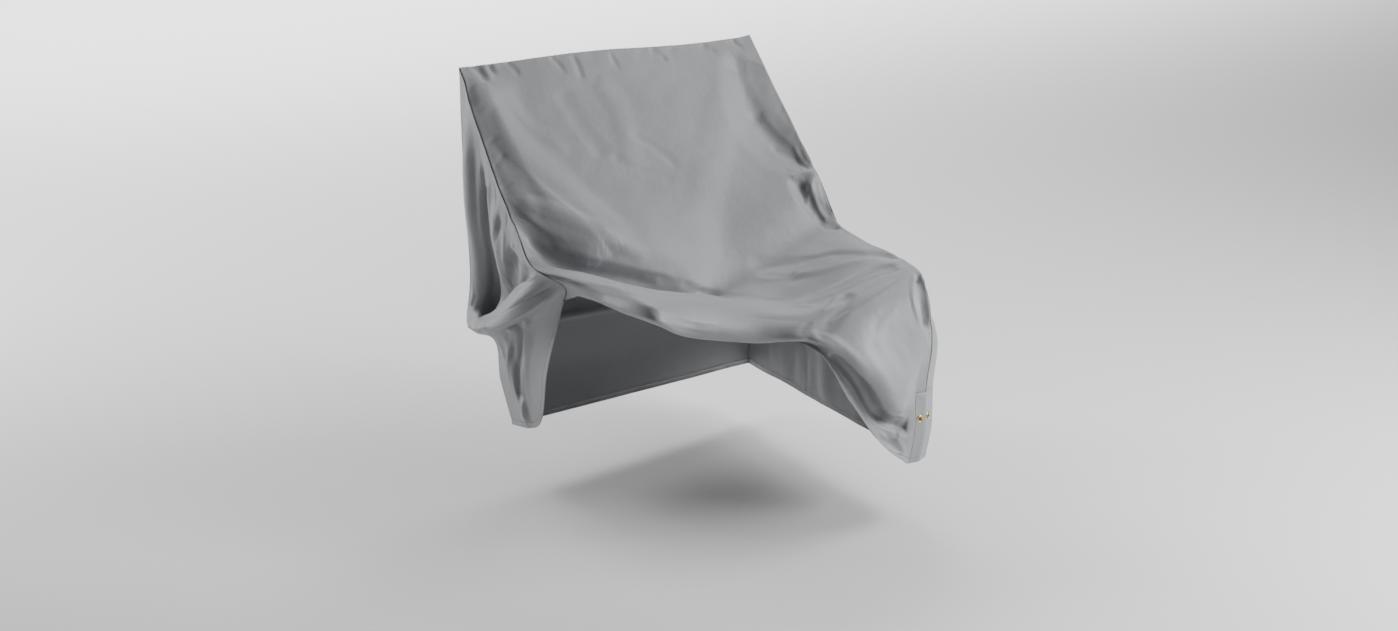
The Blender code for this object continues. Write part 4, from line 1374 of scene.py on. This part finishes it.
    @staticmethod
    def finished(grid: np.ndarray, hem_cells: int, seed: int) -> np.ndarray:
        """Return a panel's grid with its hem turned up and its seams raised.

        Args:
            grid: the panel's grid.
            hem_cells: how many rows above the edge the hem takes up.
            seed: the seed of the hem's puckers.

        Returns:
            The new grid.
        """
        grid = respaced(grid, Side.BOTTOM, hem_cells, HEM_PROFILE, HEM_ROWS_ADDED)
        puckers = Puckers(seed=seed, height_mm=1.5, spacing_mm=17, reach_mm=30, slant=0.9)
        grid = lifted(puckers.pulled(grid, Side.BOTTOM, len(HEM_PROFILE)), Side.BOTTOM, HEM_PROFILE)
        for side in SEWN_SIDES:
            grid = lifted(respaced(grid, side, SEAM_CELLS, SEAM_PROFILE), side, SEAM_PROFILE)
        return grid

    def join_panels(self, front: np.ndarray, left: np.ndarray, right: np.ndarray,
                    back: np.ndarray) -> tuple[np.ndarray, ...]:
        """Return the panels with the edges that are sewn to each other on one sunken line.

        Args:
            front: the front panel's grid.
            left: the left side panel's grid.
            right: the right side panel's grid.
            back: the back panel's grid.

        Returns:
            The same four grids, joined.
        """
        foot, turn = self.section(SLOPE_FOOT), self.section(TURN_ROW)
        left = joined(joined(left, front[:foot + 1, 0], Side.TOP), front[foot:, 0], Side.RIGHT)
        right = joined(joined(right, front[turn::-1, -1], Side.TOP), front[turn:, -1], Side.LEFT)
        back = joined(joined(back, front[0, ::-2], Side.TOP), left[:, 0], Side.RIGHT)
        grids = {"front": front, "left": left, "right": right, "back": back}
        normals = {name: outward(grid) for name, grid in grids.items()}
        every = slice(None)
        seams = (
            ("front", (slice(0, foot + 1), 0), "left", (0, every)),
            ("front", (slice(foot, None), 0), "left", (every, -1)),
            ("front", (slice(turn, None, -1), -1), "right", (0, every)),
            ("front", (slice(turn, None), -1), "right", (every, 0)),
            ("front", (0, slice(None, None, -2)), "back", (0, every)),
            ("left", (every, 0), "back", (every, -1)),
        )
        for one, edge, other, other_edge in seams:
            inward = unit_rows(normals[one][edge] + normals[other][other_edge])
            grids[one][edge] -= inward * SEAM_DEPTH
            grids[other][other_edge] = grids[one][edge]
        return tuple(grids.values())

    def sew(self) -> list[SewnPiece]:
        """Turn up the hems, pull the seams together and cut out the strip for the eyelets.

        Returns:
            The pieces of cloth.
        """
        front = Puckers(seed=21, height_mm=1.5).pulled(self.front, Side.TOP, cells=14)
        front = Puckers(seed=22, height_mm=1.2, spacing_mm=30).pulled(front, Side.LEFT, cells=10)
        front = Puckers(seed=23, height_mm=2.4, spacing_mm=22).pulled(front, Side.RIGHT, cells=12)
        front = self.finished(front, HEM_CELLS, seed=24)
        left = Puckers(seed=25, height_mm=1.2, spacing_mm=28).pulled(self.left, Side.TOP, cells=10)
        left = Puckers(seed=26, height_mm=1.0).pulled(left, Side.LEFT, cells=10)
        left = self.finished(left, LEFT_HEM_CELLS, seed=27)
        right = Puckers(seed=28, height_mm=1.2).pulled(self.right, Side.TOP, cells=8)
        right = self.finished(right, HEM_CELLS, seed=29)
        back = self.finished(self.back, HEM_CELLS, seed=30)
        front, left, right, back = self.join_panels(front, left, right, back)
        first = self.section(STRIP_ROW)
        right_first = first - self.section(TURN_ROW)
        last_column = front.shape[1] - 1
        front_cells = {(r, c) for r in range(first, len(front) - 1)
                       for c in range(last_column - STRIP_CELLS, last_column)}
        right_cells = {(r, c) for r in range(right_first, len(right) - 1) for c in range(STRIP_CELLS)}
        strip = np.concatenate((front[first:, -1 - STRIP_CELLS:],
                                right[right_first:, 1:STRIP_CELLS + 1]), axis=1)
        return [
            SewnPiece("front_panel_cloth", "front_panel", front, (0.80, 1.28), 0.90, front_cells),
            SewnPiece("left_side_cloth", "left_side_panel", left, (0.48, 0.86), 0.24),
            SewnPiece("right_side_cloth", "right_side_panel", right, (0.83, 0.87), 0.47, right_cells),
            SewnPiece("back_panel_cloth", "back_panel", back, (0.79, 0.88), 0.66),
            SewnPiece("eyelet_strip_cloth", "eyelet_strip", strip, (0.056, 0.172), 0.0095,
                      sewn_sides=()),
        ]

    def eyelets(self) -> list[Eyelet]:
        """Set the two eyelets in the middle of the strip's two sides.

        Returns:
            The eyelets, not yet modelled.
        """
        corner = Vector(self.front[self.section(STRIP_ROW), -1])
        made = []
        for node, side, turn in (("eyelet_a", -1, 0.0), ("eyelet_b", 1, STRIP_TURN)):
            along = Vector((math.cos(turn), math.sin(turn), 0))
            normal = Vector((math.sin(turn), -math.cos(turn), 0))
            centre = corner + side * STRIP_REACH / 2 * along - EYELET_SINK * normal
            centre.z = EYELET_HEIGHT
            axes = Matrix((along, normal.cross(along), normal)).transposed().to_4x4()
            made.append(Eyelet(node + "_brass", Matrix.Translation(centre) @ axes))
        return made

    @staticmethod
    def punch(strip: bpy.types.Object, eyelets: list[Eyelet]) -> None:
        """Cut the eyelets' holes through the strip.

        Args:
            strip: the strip, whose modifiers are applied too.
            eyelets: the eyelets that sit in it.
        """
        for eyelet in eyelets:
            bpy.ops.object.select_all(action="DESELECT")
            bpy.ops.mesh.primitive_cylinder_add(
                vertices=eyelet.segments, radius=eyelet.bore + HOLE_PLAY, depth=CUTTER_LENGTH)
            cutter = bpy.context.active_object
            cutter.data.transform(eyelet.place)
            cut = strip.modifiers.new("hole", "BOOLEAN")
            cut.object = cutter
            cut.operation = "DIFFERENCE"
            cut.solver = "EXACT"
            bpy.ops.object.select_all(action="DESELECT")
            strip.select_set(True)
            bpy.context.view_layer.objects.active = strip
            for modifier in list(strip.modifiers):
                bpy.ops.object.modifier_apply(modifier=modifier.name)
            bpy.data.objects.remove(cutter, do_unlink=True)

    def build(self) -> None:
        """Make every piece of the cover, dress it and tie it to its solid."""
        cloth, brass, thread = self.cloth.material(), self.brass.material(), self.thread.material()
        self.drape_front()
        self.drape_left()
        self.drape_right()
        self.drape_back()
        eyelets = self.eyelets()
        for piece in self.sew():
            made = piece.build(cloth)
            if piece.node == "eyelet_strip":
                self.punch(made, eyelets)
            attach(made, "root")
            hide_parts(piece.node)
            normals = outward(piece.grid)
            for side, row in piece.stitch_rows:
                run = self.stitching.run(piece.node + "_stitches", facing(piece.grid, side)[row],
                                         facing(normals, side)[row], thread)
                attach(run, "root")
        for eyelet in eyelets:
            made = eyelet.build(brass)
            node = eyelet.name.removesuffix("_brass")
            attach(made, "root")
            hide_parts(node)
            LOG.info("%s: %d points", made.name, len(made.data.vertices))


@dataclass(frozen=True)
class Studio:
    """A plain pale floor, soft lamps and the camera.

    The camera's lens is given as the photograph's: its focal length and its width in pixels.
    """

    floor_height: float = -0.985
    floor_reach: float = 30.0
    camera_place: Point3 = (-2.90304, -5.55769, 1.56853)
    heading: float = math.radians(29.518)
    tilt: float = math.radians(19.602)
    focal_pixels: int = 2700
    photo_pixels: int = 1398
    sensor_mm: int = 36
    aim: Point3 = (0.0, -0.4, -0.4)
    air: Point3 = (0.98, 0.99, 1.0)
    air_strength: float = 0.03

    def build(self) -> None:
        """Set up the floor, the lamps, the surrounding light and the camera."""
        self.floor()
        self.surround()
        self.lamp("key_lamp", (2.32, -2.72, 0.48), self.aim, (1.6, 1.0), 120.0)
        self.lamp("right_lamp", (2.18, -1.42, 2.00), self.aim, (1.6, 1.0), 58.0)
        self.lamp("back_right_lamp", (1.20, 1.68, 2.00), self.aim, (1.6, 1.0), 38.0)
        self.lamp("back_left_lamp", (-1.20, 1.68, 2.00), self.aim, (1.4, 1.0), 38.0)
        self.lamp("rear_left_lamp", (-2.20, 2.30, 0.20), self.aim, (0.6, 1.5), 52.0)
        self.lamp("floor_wash_lamp", (1.6, 5.2, 0.7), (1.6, 5.2, -1.0), (9.0, 4.0), 500.0)
        self.camera()

    def floor(self) -> None:
        """Lay the floor."""
        bpy.ops.object.select_all(action="DESELECT")
        bpy.ops.mesh.primitive_plane_add(size=self.floor_reach)
        made = bpy.context.active_object
        made.name = "studio_floor"
        made.data.transform(Matrix.Translation((0, 0, self.floor_height)))
        made.data.materials.append(StudioPaper().material())

    def surround(self) -> None:
        """Fill the shadows with a little light from all round."""
        world = bpy.data.worlds.new("studio_air")
        world.use_nodes = True
        bpy.context.scene.world = world
        back = world.node_tree.nodes["Background"]
        back.inputs["Color"].default_value = (*self.air, 1)
        back.inputs["Strength"].default_value = self.air_strength

    def lamp(self, name: str, place: Point3, aim: Point3, size: Point2, power: float) -> None:
        """Hang one soft lamp.

        Args:
            name: the lamp's name.
            place: where its middle is.
            aim: the point that it faces.
            size: its width and height.
            power: its power in watts.
        """
        direction = Vector(aim) - Vector(place)
        light = bpy.data.lights.new(name, "AREA")
        light.shape = "RECTANGLE"
        light.size, light.size_y = size
        light.energy = power
        made = placed(name, light)
        made.location = place
        made.rotation_euler = direction.to_track_quat("-Z", "Y").to_euler()
        made.visible_camera = False

    def camera(self) -> None:
        """Set the camera at the photograph's angle."""
        data = bpy.data.cameras.new("camera")
        data.lens = self.sensor_mm * self.focal_pixels / self.photo_pixels
        data.sensor_width = self.sensor_mm
        made = placed("camera", data)
        made.location = self.camera_place
        ahead = Vector((math.cos(self.tilt) * math.sin(self.heading),
                        math.cos(self.tilt) * math.cos(self.heading), -math.sin(self.tilt)))
        made.rotation_euler = ahead.to_track_quat("-Z", "Y").to_euler()
        bpy.context.scene.camera = made


def main() -> None:
    """Build the cover and its studio."""
    logging.basicConfig(level=logging.INFO, format="%(name)s: %(message)s")
    Cover().build()
    Studio().build()


if __name__ == "__main__":
    main()
